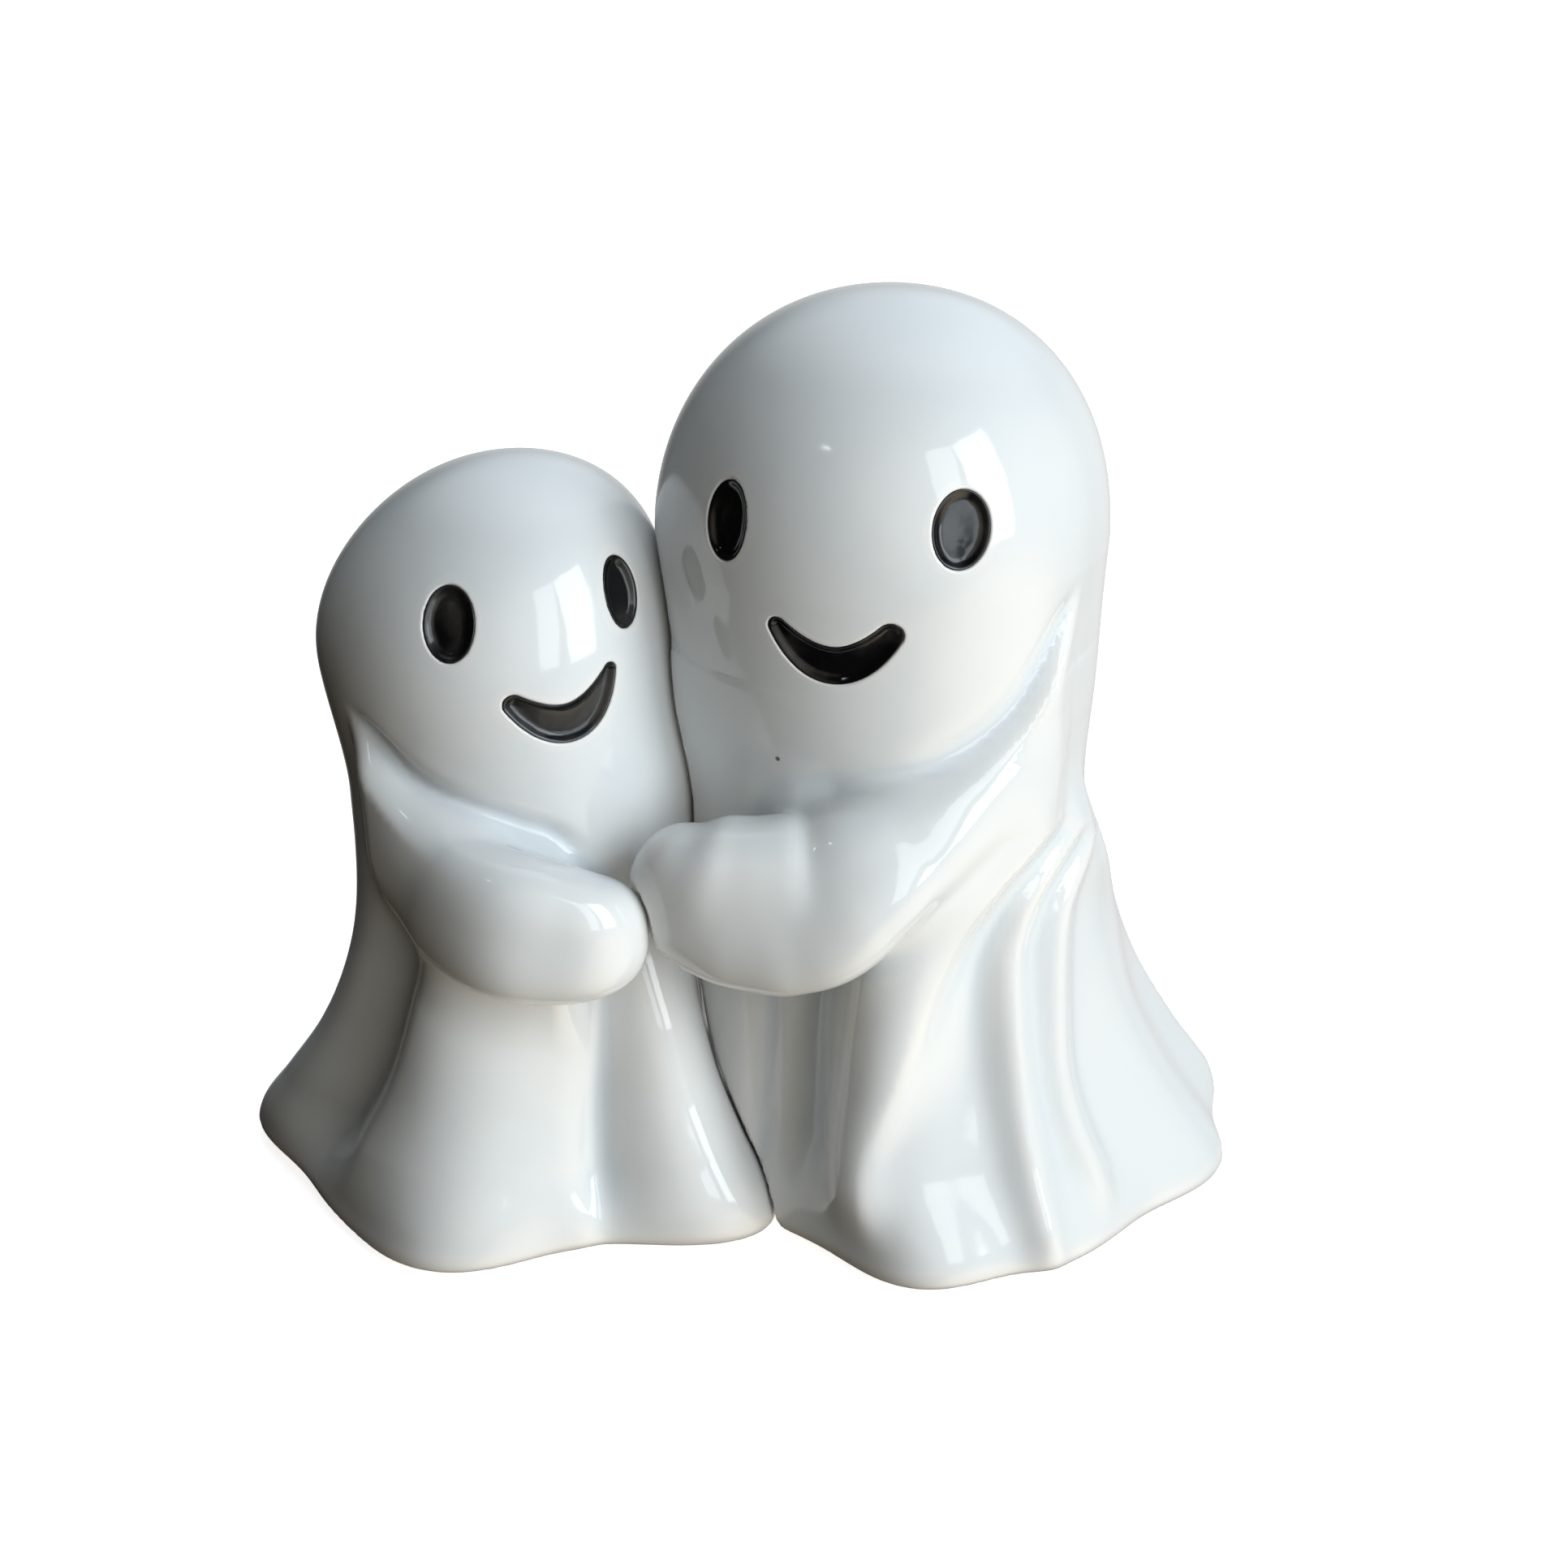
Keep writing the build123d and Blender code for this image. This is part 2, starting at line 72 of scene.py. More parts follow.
# Broad skirt folds: azimuth at the hem and at the top, angular half-width, depth at the hem, top, fade power
Fold = namedtuple("Fold", "hem_azimuth top_azimuth half_width depth top fade")
SMALL_FOLDS = [
    Fold(158, 218, 21, 10.5, 42, 1.5),
    Fold(-150, -150, 22, 2.0, 20, 1.0),
    Fold(-108, -106, 22, 6.0, 36, 1.0),
    Fold(-30, -48, 18, 11.0, 38, 1.3),
    Fold(62, 62, 16, 6.0, 36, 1.5),
    Fold(112, 112, 16, 6.5, 38, 1.5),
]
TALL_FOLDS = [
    Fold(-98, -78, 18, 5.8, 56, 0.8),
    Fold(-64, -48, 12, 2.4, 60, 0.8),
    Fold(-46, -36, 12, 1.2, 64, 0.6),
    Fold(0, -30, 20, 7.5, 56, 1.2),
    Fold(36, 20, 15, 11.0, 52, 1.3),
    Fold(82, 72, 16, 6.5, 52, 1.4),
    Fold(128, 120, 16, 6.5, 50, 1.5),
    Fold(178, 178, 30, 5.0, 64, 0.5),
]

# Fine drape lines: (height, azimuth) along the crest, half-widths before and after it, crest height
# (a groove is negative), and the heights where it starts and ends
Ridge = namedtuple("Ridge", "path before after height low high")
SMALL_RIDGES = [
    Ridge([(0, -70), (15, -71), (28, -69), (36, -66)], 2.4, 1.6, 0.6, -5, 40),
    Ridge([(0, -62), (15, -64), (28, -62), (36, -60)], 3.0, 2.6, -2.4, 0, 42),
    Ridge([(0, -46), (12, -49), (24, -51), (34, -53)], 4.5, 6.0, 1.8, -4, 40),
    Ridge([(0, -142), (8, -135), (28, -121), (38, -115)], 2.6, 6.0, 1.8, 2, 42),
    Ridge([(0, -166), (9, -158), (21, -147), (31, -137), (40, -128)], 4.0, 3.0, -3.4, 1, 44),
]
TALL_RIDGES = [
    Ridge([(0, -112), (13, -107), (23, -95), (32, -84), (42, -66), (48, -46)], 3.5, 1.8, 1.6, 2, 56),
    Ridge([(0, -116), (15, -112), (24, -106), (34, -98), (42, -86)], 2.2, 4.0, 1.8, 3, 48),
    Ridge([(0, -88), (13, -86), (23, -78), (32, -69), (42, -54)], 4.0, 4.0, -1.2, 2, 50),
    Ridge([(0, -67), (8, -66), (20, -63), (33, -59), (39, -52), (46, -34)], 1.8, 1.5, 1.6, -3, 54),
    Ridge([(6, -46), (17, -49), (29, -45), (37, -40), (44, -27)], 1.8, 1.6, 1.5, 2, 54),
    Ridge([(5, 27), (17, 22), (31, 7), (40, -11), (50, -24)], 5.0, 1.5, 2.0, -4, 54),
    Ridge([(0, -136), (13, -130), (23, -125), (30, -120), (40, -110)], 3.5, 3.0, -3.2, 4, 46),
    Ridge([(8, -147), (17, -143), (27, -138), (38, -132)], 1.3, 1.3, -0.9, 2, 44),
]
RIDGE_RUN_IN = 9.0
RIDGE_RUN_OUT = 16.0

# Creases that run round the body: (azimuth, height) along the crease, depth and half-width of the groove,
# and the shelf below it: how proud it stands, over what drop it comes and where it is gone
Crease = namedtuple("Crease", "path depth half_width shelf rise gone")
SMALL_CREASES = [
    Crease([(-147, 60.5), (-140, 58.8), (-132, 56.8), (-118, 53.2), (-98, 50.4), (-78, 48.0), (-66, 46)],
           1.0, 1.3, 2.8, 5.5, 26.0),
]
TALL_CREASES = [
    Crease([(-118, 53), (-107, 53.5), (-88, 55), (-71, 58), (-55, 62), (-42, 68), (-30, 76)],
           0.8, 2.0, 1.4, 4.0, 26.0),
]
CREASE_BROW_FADE = 4.0
CREASE_END_TURN = 0.25

# Arm stations from shoulder to hand: place on the sheet, stand-off of the centre, section half-sizes,
# lean of the section's top toward the chest, and softness of the crease above and below
Station = namedtuple("Station", "azimuth height stand_off half_height half_thickness lean above below")
SMALL_ARM = [
    Station(-146.0, 44.5, -11.5, 7.0, 4.2, -20, 3.0, 3.0),
    Station(-131.0, 43.2, -6.0, 8.2, 4.4, -20, 4.0, 3.0),
    Station(-109.3, 41.4, -1.4, 8.2, 4.9, -10, 3.0, 1.5),
    Station(-88.5, 40.0, 2.3, 8.0, 5.3, 0, 1.0, 1.0),
    Station(-73.8, 38.9, 4.5, 7.0, 5.2, 0, 1.2, 1.0),
    Station(-66.8, 39.0, 5.3, 6.0, 5.0, 0, 1.2, 1.0),
]
TALL_ARM = [
    Station(-66.0, 53.0, -5.0, 4.5, 4.2, 20, 3.0, 6.0),
    Station(-84.2, 49.0, -1.6, 6.2, 5.0, 24, 3.0, 5.0),
    Station(-100.1, 45.4, 2.0, 8.2, 5.4, 22, 2.5, 2.5),
    Station(-113.0, 42.2, 5.4, 9.6, 5.8, 12, 2.0, 1.2),
    Station(-128.3, 42.2, 8.1, 9.2, 5.8, 0, 1.2, 1.0),
    Station(-138.1, 44.0, 9.9, 6.6, 4.9, 0, 1.2, 1.0),
]
ARM_SECTION_POWER = 2.5
ARM_END_REACH = 4.5
ARM_SAMPLES = 61
ARM_MERGE = 4.0
ARM_SWELL = 0.55
ARM_ROOM = 15.0
ARM_BODY_DEPTH = 16.0
ARM_SOFT_SPAN = 0.6

# Carved ovals: azimuth, rise above the brow as a share of the dome's rise, width, height and tilt
Oval = namedtuple("Oval", "azimuth rise width height tilt")

# Smiles, each a curved stroke: azimuth and rise of its middle, span between the centres of its round ends,
# lift of the ends, radius of the stroke at the left end, the middle and the right end, and tilt
Smile = namedtuple("Smile", "azimuth rise span lift left_radius middle_radius right_radius tilt")
SMALL_FACE = {
    "left_eye": Oval(-104.3, 0.466, 5.3, 7.8, 8),
    "right_eye": Oval(-39.6, 0.519, 4.4, 7.4, -12),
    "mouth": Smile(-64.0, -0.03, 10.6, 3.5, 1.1, 2.05, 0.75, 11),
}
TALL_FACE = {
    "left_eye": Oval(-134.8, 0.273, 5.2, 8.0, 6),
    "right_eye": Oval(-71.5, 0.309, 6.0, 7.9, -11),
    "mouth": Smile(-103.4, -0.247, 11.3, 3.4, 1.0, 2.0, 1.3, 0),
}
SMILE_TAPER = 2.0
SMILE_SAMPLES = 61
FACE_REACH = 9.0
FAR_AWAY = 50.0
GLAZE_OVERLAP = 0.03
GLAZE_RIM = 0.10
GLAZE_FLOOR = 0.72
GLAZE_SLOPE = 0.9
GLAZE_BACK_GAP = 0.08
GLAZE_RINGS = (1.0, 0.96, 0.91, 0.84, 0.75, 0.62, 0.45, 0.25, 0.0)
OVAL_RAYS = 72
OVAL_SPINE_SHARE = 0.8
SMILE_RAYS = 41
SMILE_END_RAYS = 15

# Roundings of the shell where its surfaces meet
NEST_ROUND = 0.5
CAVITY_ROUND = 1.0
CARVING_FLOOR_ROUND = 0.3
CARVING_RIM_ROUND = 0.35
INNER_ROUND = 0.3

# Sculpted skin: room round the solid, reach of the finer cells at the carvings and how bends become glaze
# pools with painted shade in creases and a painted highlight on crests
SKIN_MARGIN = 3.0
FINE_REACHES = (2.0, 1.0)
POOL_SHADE_STEP = 0.8
POOL_SHADE_BEND = 1.2

# Base: recess, pouring hole and stopper
RECESS_RADIUS = 11.5
RECESS_DEPTH = 2.0
SEAT_THICKNESS = 2.4
HOLE_RADIUS = 8.0
FLANGE_RADIUS = 10.4
FLANGE_THICKNESS = 1.2
PLUG_RADIUS = 7.94
PLUG_LENGTH = 6.5
PLUG_WALL = 1.6
SEAT_GAP = 0.05

Ghost = namedtuple("Ghost", "axis sheet folds ridges creases arm face brow head_radius dome_rise")
GHOSTS = {
    "small": Ghost(SMALL_AXIS, SMALL_SHEET, SMALL_FOLDS, SMALL_RIDGES, SMALL_CREASES, SMALL_ARM, SMALL_FACE,
                   60.5, 18.8, 20.8),
    "tall": Ghost(TALL_AXIS, TALL_SHEET, TALL_FOLDS, TALL_RIDGES, TALL_CREASES, TALL_ARM, TALL_FACE,
                  74.0, 23.3, 24.9),
}


# Settings that a user would change
class GhostFormSettings(bpy.types.PropertyGroup):
    wall: FloatProperty(
        name="Wall", description="Thickness of the cast ceramic", default=0.0032, unit="LENGTH")
    nest_gap: FloatProperty(
        name="Nest gap", description="Gap between the two ghosts where they hug", default=0.00035,
        unit="LENGTH")
    carving_depth: FloatProperty(
        name="Carving depth", description="Depth of the carved eyes and mouths", default=0.0011,
        unit="LENGTH")
    cell: FloatProperty(
        name="Cell", description="Size of one cell of the sculpted skin", default=0.00074, unit="LENGTH")
    quick_cell: FloatProperty(
        name="Quick cell", description="Cell size for a quick look", default=0.0010, unit="LENGTH")


class GhostFinishSettings(bpy.types.PropertyGroup):
    glaze: FloatVectorProperty(
        name="White glaze", description="Body colour of the white glaze", subtype="COLOR",
        default=(0.81, 0.825, 0.83))
    # Lighter glaze on crests and carving rims: partly glaze running thin there, partly a painted highlight
    # along the edges
    thin_glaze_and_painted_highlight: FloatVectorProperty(
        name="Thin glaze", description="Colour where the glaze runs thin on crests", subtype="COLOR",
        default=(0.85, 0.845, 0.835))
    # Darker, bluer glaze in creases: partly glaze pooling there, partly painted shade where the creases fall
    # in shadow; the soft clouds mix it in too
    pooled_glaze_and_painted_shade: FloatVectorProperty(
        name="Pooled glaze", description="Colour where the glaze pools in creases", subtype="COLOR",
        default=(0.72, 0.765, 0.80))
    black_glaze: FloatVectorProperty(
        name="Black glaze", description="Colour of the eyes and mouths", subtype="COLOR",
        default=(0.004, 0.004, 0.005))
    pinhole: FloatVectorProperty(
        name="Pinhole", description="Dark of a pinhole in the glaze", subtype="COLOR",
        default=(0.16, 0.14, 0.13))
    thin_black: FloatVectorProperty(
        name="Thin black", description="Colour where the black glaze runs thin", subtype="COLOR",
        default=(0.022, 0.021, 0.020))
    stopper_shade: FloatVectorProperty(
        name="Stopper shade", description="Darker grain of the stopper", subtype="COLOR",
        default=(0.66, 0.65, 0.60))
    bisque: FloatVectorProperty(
        name="Bisque", description="Bare fired clay under the foot", subtype="COLOR",
        default=(0.72, 0.67, 0.60))
    stopper: FloatVectorProperty(
        name="Stopper", description="Soft plastic of the stoppers", subtype="COLOR",
        default=(0.78, 0.77, 0.73))


class GhostStageSettings(bpy.types.PropertyGroup):
    elevation: FloatProperty(
        name="Camera elevation", description="Camera angle above level", default=radians(24), subtype="ANGLE")
    distance: FloatProperty(
        name="Camera distance", description="From the camera to its aim", default=0.430, unit="LENGTH")
    aim_height: FloatProperty(
        name="Aim height", description="Height of the camera's aim", default=0.048, unit="LENGTH")
    lens: FloatProperty(
        name="Lens", description="Focal length on a 36 mm sensor, in millimetres", default=95.35)
    light: FloatProperty(
        name="Light", description="Strength of the window and the lamp", default=1.1)
    window_distance: FloatProperty(
        name="Window distance", description="From the aim to the window", default=0.9, unit="LENGTH")
    window_colour: FloatVectorProperty(
        name="Window colour", description="Colour of the daylight", subtype="COLOR",
        default=(0.91, 0.985, 1.03))
    dim_wall: FloatVectorProperty(
        name="Dim wall", description="Room away from the window", subtype="COLOR",
        default=(0.012, 0.0095, 0.007))
    floor_size: FloatProperty(
        name="Floor size", description="Side of the square floor", default=12.0, unit="LENGTH")
    floor_colour: FloatVectorProperty(
        name="Floor", description="Colour of the pale floor", subtype="COLOR", default=(0.97, 0.97, 0.97))
    floor_glow: FloatProperty(
        name="Floor glow", description="Light that the pale floor gives off by itself", default=0.8)


# Smooth curves through stations
def eased_table(stations, heights):
    """Values at the heights on the smooth curve through (height, value) stations."""
    xs = np.array([s[0] for s in stations], float)
    ys = np.array([s[1] for s in stations], float)
    steps = np.diff(ys) / np.diff(xs)
    before, after = steps[:-1], steps[1:]
    same_way = before * after > 0
    means = np.where(same_way, 2 * before * after / np.where(same_way, before + after, 1), 0)
    slopes = np.concatenate([steps[:1], means, steps[-1:]])
    heights = np.clip(heights, xs[0], xs[-1])
    i = np.clip(np.searchsorted(xs, heights, side="right") - 1, 0, len(xs) - 2)
    span = xs[i + 1] - xs[i]
    t = (heights - xs[i]) / span
    return (ys[i] * (1 + 2 * t) * (1 - t) ** 2 + slopes[i] * span * t * (1 - t) ** 2
            + ys[i + 1] * t * t * (3 - 2 * t) - slopes[i + 1] * span * t * t * (1 - t))


def soft_min(a, b, width):
    h = np.clip(0.5 + 0.5 * (b - a) / width, 0, 1)
    return b + (a - b) * h - width * h * (1 - h)


def soft_max(a, b, width):
    return -soft_min(-a, -b, width)


def smooth_step(low, high, x):
    t = np.clip((x - low) / (high - low), 0, 1)
    return t * t * (3 - 2 * t)


class Form:
    """Signed form of one draped ghost: negative inside, in millimetres."""

    TABLE_STEP = 0.05

    def __init__(self, ghost):
        self.ghost = ghost
        top = ghost.brow + ghost.dome_rise
        self.heights = np.arange(0, top + 1, self.TABLE_STEP)
        self.axis_x = eased_table([(z, x) for z, x, y in ghost.axis], self.heights)
        self.axis_y = eased_table([(z, y) for z, x, y in ghost.axis], self.heights)
        self.radius = eased_table(ghost.sheet + [(ghost.brow, ghost.head_radius)], self.heights)
        self.path = self.arm_path()

    def at(self, table, z):
        return np.interp(z, self.heights, table)

    def drape(self, azimuth, z, radius):
        """Folds, fine ridges and creases on top of the plain sheet, azimuth in radians."""
        out = np.zeros(np.broadcast(azimuth, z).shape)
        for fold in self.ghost.folds:
            climb = np.clip(z / fold.top, 0, 1)
            centre = np.radians(fold.hem_azimuth + (fold.top_azimuth - fold.hem_azimuth) * climb)
            sharp = log(2) / (2 * sin(radians(fold.half_width) / 2) ** 2)
            out += fold.depth * (1 - climb) ** fold.fade * np.exp(sharp * (np.cos(azimuth - centre) - 1))
        for ridge in self.ghost.ridges:
            centre = np.radians(eased_table(ridge.path, z))
            offset = np.sin((azimuth - centre) / 2) * 2 * radius
            offset = np.where(np.cos(azimuth - centre) > 0, offset, 1e3)
            width = np.where(np.sin(azimuth - centre) < 0, ridge.before, ridge.after)
            fade = smooth_step(ridge.low, ridge.low + RIDGE_RUN_IN, z)
            fade = fade * (1 - smooth_step(ridge.high - RIDGE_RUN_OUT, ridge.high, z))
            out += ridge.height * fade * np.exp(-(offset / width) ** 2 * log(2))
        for crease in self.ghost.creases:
            start, end = radians(crease.path[0][0]), radians(crease.path[-1][0])
            turn = (azimuth - start) % (2 * pi)
            span = end - start
            inside = np.minimum(turn, span)
            line = eased_table([(radians(a) - start, h) for a, h in crease.path], inside)
            ends = smooth_step(0, CREASE_END_TURN, turn)
            ends = ends * (1 - smooth_step(span - CREASE_END_TURN, span, turn))
            drop = line - z
            groove = crease.depth * np.exp(-(drop / crease.half_width) ** 2 * log(2))
            shelf = crease.shelf * smooth_step(0, crease.rise, drop)
            shelf *= 1 - smooth_step(crease.gone / 2, crease.gone, drop)
            brow = self.ghost.brow
            out += ends * (shelf - groove) * (1 - smooth_step(brow - CREASE_BROW_FADE, brow, z))
        return out

    def body(self, p):
        ghost = self.ghost
        x, y, z = p[..., 0], p[..., 1], p[..., 2]
        dx = x - self.at(self.axis_x, z)
        dy = y - self.at(self.axis_y, z)
        reach = np.hypot(dx, dy)
        low_z = np.clip(z, 0, ghost.brow)
        radius = self.at(self.radius, low_z)
        skirt = reach - radius - self.drape(np.arctan2(dy, dx), low_z, radius)
        lift = np.maximum(z - ghost.brow, 0) * ghost.head_radius / ghost.dome_rise
        power = DOME_SQUARENESS
        dome = (reach ** power + lift ** power) ** (1 / power) - ghost.head_radius
        return np.where(z > ghost.brow, dome, skirt)

    def sheet_point(self, azimuth, height, stand_off=0.0):
        angle = radians(azimuth)
        ghost = self.ghost
        x, y = float(self.at(self.axis_x, height)), float(self.at(self.axis_y, height))
        if height <= ghost.brow:
            radius = float(self.at(self.radius, height))
            radius += float(self.drape(np.array(angle), np.array(float(height)), radius))
        else:
            share = (height - ghost.brow) / ghost.dome_rise
            radius = ghost.head_radius * (1 - share ** DOME_SQUARENESS) ** (1 / DOME_SQUARENESS)
        radius += stand_off
        return np.array([x + radius * cos(angle), y + radius * sin(angle), height])

    def arm_path(self):
        """Samples along the arm: centre, the up, out and along directions, half-sizes and crease softness."""
        stations = self.ghost.arm
        centres = np.array([self.sheet_point(s.azimuth, s.height, s.stand_off) for s in stations])
        spread = np.concatenate([[0], np.cumsum(np.linalg.norm(np.diff(centres, axis=0), axis=1))])
        steps = np.linspace(0, spread[-1], ARM_SAMPLES)

        def along(values):
            return eased_table(list(zip(spread, values)), steps)

        centre = np.stack([along(centres[:, i]) for i in range(3)], -1)
        tangent = np.gradient(centre, axis=0)
        tangent /= np.linalg.norm(tangent, axis=1, keepdims=True)
        outward = centre - np.stack([self.at(self.axis_x, centre[:, 2]), self.at(self.axis_y, centre[:, 2]),
                                     centre[:, 2]], -1)
        outward -= tangent * (outward * tangent).sum(1, keepdims=True)
        outward /= np.linalg.norm(outward, axis=1, keepdims=True)
        upward = np.cross(outward, tangent)
        upward *= np.sign(upward[:, 2:])
        lean = np.radians(along([s.lean for s in stations]))[:, None]
        leaning_up = upward * np.cos(lean) - outward * np.sin(lean)
        leaning_out = outward * np.cos(lean) + upward * np.sin(lean)
        sizes = [along([getattr(s, key) for s in stations])
                 for key in ("half_height", "half_thickness", "above", "below")]
        return centre, leaning_up, leaning_out, tangent, sizes

    def arm(self, p):
        """Distance to the arm and the softness of its crease, at a list of points."""
        centre, upward, outward, tangent, (high, thick, above, below) = self.path
        size = np.minimum(np.minimum(high, thick), ARM_END_REACH)
        total = np.zeros(len(p))
        soft = np.zeros(len(p))
        for i in range(len(centre)):
            d = p - centre[i]
            up = d @ (upward[i] / high[i])
            out = d @ (outward[i] / thick[i])
            end = d @ (tangent[i] / ARM_END_REACH)
            cross = np.abs(up) ** ARM_SECTION_POWER + np.abs(out) ** ARM_SECTION_POWER
            gap = (np.sqrt(cross ** (2 / ARM_SECTION_POWER) + end * end) - 1) * size[i]
            weight = np.exp(np.clip(-ARM_MERGE * gap, -60, 60))
            total += weight
            upper = smooth_step(-ARM_SOFT_SPAN, ARM_SOFT_SPAN, up)
            soft += weight * (below[i] + (above[i] - below[i]) * upper)
        return -np.log(np.maximum(total, 1e-30)) / ARM_MERGE + ARM_SWELL, soft / np.maximum(total, 1e-30)

    def skin(self, p, body):
        """Body and arm in one skin."""
        low = self.path[0].min(0) - ARM_ROOM
        high = self.path[0].max(0) + ARM_ROOM
        near = np.all((p > low) & (p < high), axis=-1) & (body < ARM_BODY_DEPTH)
        if near.any():
            body = body.copy()
            arm, soft = self.arm(p[near])
            body[near] = soft_min(body[near], arm, soft)
        return body


# Carved outlines in the plane of each feature
def oval_distance(oval, u, v):
    a, b = oval.width / 2, oval.height / 2
    k = np.hypot(u / a, v / b)
    slope = np.hypot(u / a ** 2, v / b ** 2)
    return np.where(k > 1e-6, (k - 1) * k / np.maximum(slope, 1e-6), -a)


def smile_spine(smile, count):
    """Points along the middle of a smile, from its left end to its right end, and its radius there."""
    share = np.linspace(-1, 1, count)
    ends = np.where(share < 0, smile.left_radius, smile.right_radius)
    radius = smile.middle_radius + (ends - smile.middle_radius) * np.abs(share) ** SMILE_TAPER
    return np.stack([share * smile.span / 2, smile.lift * share ** 2], -1), radius


def smile_distance(smile, u, v):
    nearest = np.full(np.shape(u), FAR_AWAY)
    for (x, y), radius in zip(*smile_spine(smile, SMILE_SAMPLES)):
        nearest = np.minimum(nearest, np.hypot(u - x, v - y) - radius)
    return nearest


def outline_distance(feature, u, v):
    return (oval_distance if isinstance(feature, Oval) else smile_distance)(feature, u, v)


def face_frame(form, feature):
    """Origin on the head and the across, up and outward directions of a carved feature."""
    height = form.ghost.brow + feature.rise * form.ghost.dome_rise
    here = form.sheet_point(feature.azimuth, height)
    step = 0.02
    offsets = np.eye(3) * step
    normal = np.array([form.body(here + o) - form.body(here - o) for o in offsets])
    normal /= np.linalg.norm(normal)
    level = np.cross([0, 0, 1], normal)
    level /= np.linalg.norm(level)
    rise = np.cross(normal, level)
    turn = radians(feature.tilt)
    across = level * cos(turn) + rise * sin(turn)
    upward = rise * cos(turn) - level * sin(turn)
    return here, across, upward, normal


# Skinning a signed form
def net_skin(field, low, high, cell):
    """Quads of a skin round the negative part of a field, one vertex in each cell that it crosses."""
    axes = [np.arange(low[i] - 2 * cell, high[i] + 2 * cell, cell) for i in range(3)]
    shape = tuple(len(a) for a in axes)
    values = np.empty(shape)
    plane = np.stack(np.meshgrid(axes[1], axes[2], indexing="ij"), -1)
    slab = 8
    for start in range(0, shape[0], slab):
        xs = axes[0][start:start + slab]
        points = np.empty((len(xs),) + plane.shape[:2] + (3,))
        points[..., 0] = xs[:, None, None]
        points[..., 1:] = plane
        values[start:start + slab] = field(points)
    inside = values < 0
    cells = tuple(n - 1 for n in shape)
    total = np.zeros(cells + (3,))
    crossings = np.zeros(cells)
    corners = [(a, b, c) for a in (0, 1) for b in (0, 1) for c in (0, 1)]

    def at(array, corner):
        return array[tuple(slice(o, o + n) for o, n in zip(corner, cells))]

    for p in corners:
        for axis in range(3):
            if p[axis]:
                continue
            q = tuple(1 if i == axis else p[i] for i in range(3))
            a, b = at(values, p), at(values, q)
            crossed = (a < 0) != (b < 0)
            t = np.where(crossed, a / np.where(crossed, a - b, 1), 0)
            for i in range(3):
                total[..., i] += np.where(crossed, p[i] + (q[i] - p[i]) * t, 0)
            crossings += crossed
    active = crossings > 0
    index = np.full(cells, -1)
    index[active] = np.arange(active.sum())
    origin = np.array([a[0] for a in axes])
    points = origin + cell * (total[active] / crossings[active][:, None] + np.argwhere(active))
    quads = []
    for axis in range(3):
        ahead = tuple(slice(1 if i == axis else 0, None) for i in range(3))
        behind = tuple(slice(0, n - 1 if i == axis else None) for i, n in enumerate(shape))
        edges = np.argwhere(inside[behind] != inside[ahead])
        one, two = (axis + 1) % 3, (axis + 2) % 3
        entering = inside[behind][tuple(edges.T)]

        def cell_at(back_one, back_two):
            place = edges.copy()
            place[:, one] -= back_one
            place[:, two] -= back_two
            return index[tuple(place.T)]

        quad = np.stack([cell_at(1, 1), cell_at(0, 1), cell_at(0, 0), cell_at(1, 0)], -1)
        quad[~entering] = quad[~entering][:, ::-1]
        quads.append(quad)
    return points, np.concatenate(quads)


def slopes(field, points, step=0.03):
    """Gradient of a field at points."""
    out = np.empty_like(points)
    for i in range(3):
        offset = np.zeros(3)
        offset[i] = step
        out[:, i] = (field(points + offset) - field(points - offset)) / (2 * step)
    return out


def settle(field, points, limit, rounds=4):
    """Points moved onto the zero surface of a field, no further than the limit in each round."""
    for _ in range(rounds):
        gradient = slopes(field, points)
        square = np.maximum((gradient ** 2).sum(1), 0.05)
        move = gradient * (field(points) / square)[:, None]
        length = np.linalg.norm(move, axis=1, keepdims=True)
        points = points - move * np.minimum(1, limit / np.maximum(length, 1e-9))
    return points


def ground_shift():
    """From the drawing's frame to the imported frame, in millimetres: the tall stopper marks the tall axis."""
    low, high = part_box("tall_stopper")
    centre = (low + high) / 2
    return np.array([centre.x / MM - TALL_AXIS[0][1], centre.y / MM - TALL_AXIS[0][2], 0.0])


def mesh_object(name, points, faces, material, body, replaced, normals=None):
    """New piece from millimetre points in the drawing's frame, riding on a body in place of CAD nodes."""
    mesh = bpy.data.meshes.new(name)
    mesh.from_pydata(((points + ground_shift()) * MM).tolist(), [], [list(map(int, f)) for f in faces])
    mesh.validate()
    mesh.update()
    mesh.polygons.foreach_set("use_smooth", [True] * len(mesh.polygons))
    if normals is not None:
        mesh.normals_split_custom_set_from_vertices(normals.tolist())
    piece = bpy.data.objects.new(name, mesh)
    bpy.context.scene.collection.objects.link(piece)
    mesh.materials.append(material)
    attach(piece, body)
    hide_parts(replaced)
    return piece


# Material building blocks
def new_material(name):
    material = bpy.data.materials.new(name)
    material.use_nodes = True
    nodes = material.node_tree.nodes
    return material, nodes, material.node_tree.links, nodes["Principled BSDF"]


def node(nodes, kind, **settings):
    made = nodes.new(kind)
    for key, value in settings.items():
        if key in made.inputs:
            made.inputs[key].default_value = value
        else:
            setattr(made, key, value)
    return made


def ranged(nodes, links, source, from_min, from_max, to_min=0.0, to_max=1.0):
    """Output of a smooth range over a value."""
    made = node(nodes, "ShaderNodeMapRange", interpolation_type="SMOOTHSTEP")
    limits = {"From Min": from_min, "From Max": from_max, "To Min": to_min, "To Max": to_max}
    for key, value in limits.items():
        made.inputs[key].default_value = value
    links.new(source, made.inputs["Value"])
    return made.outputs["Result"]


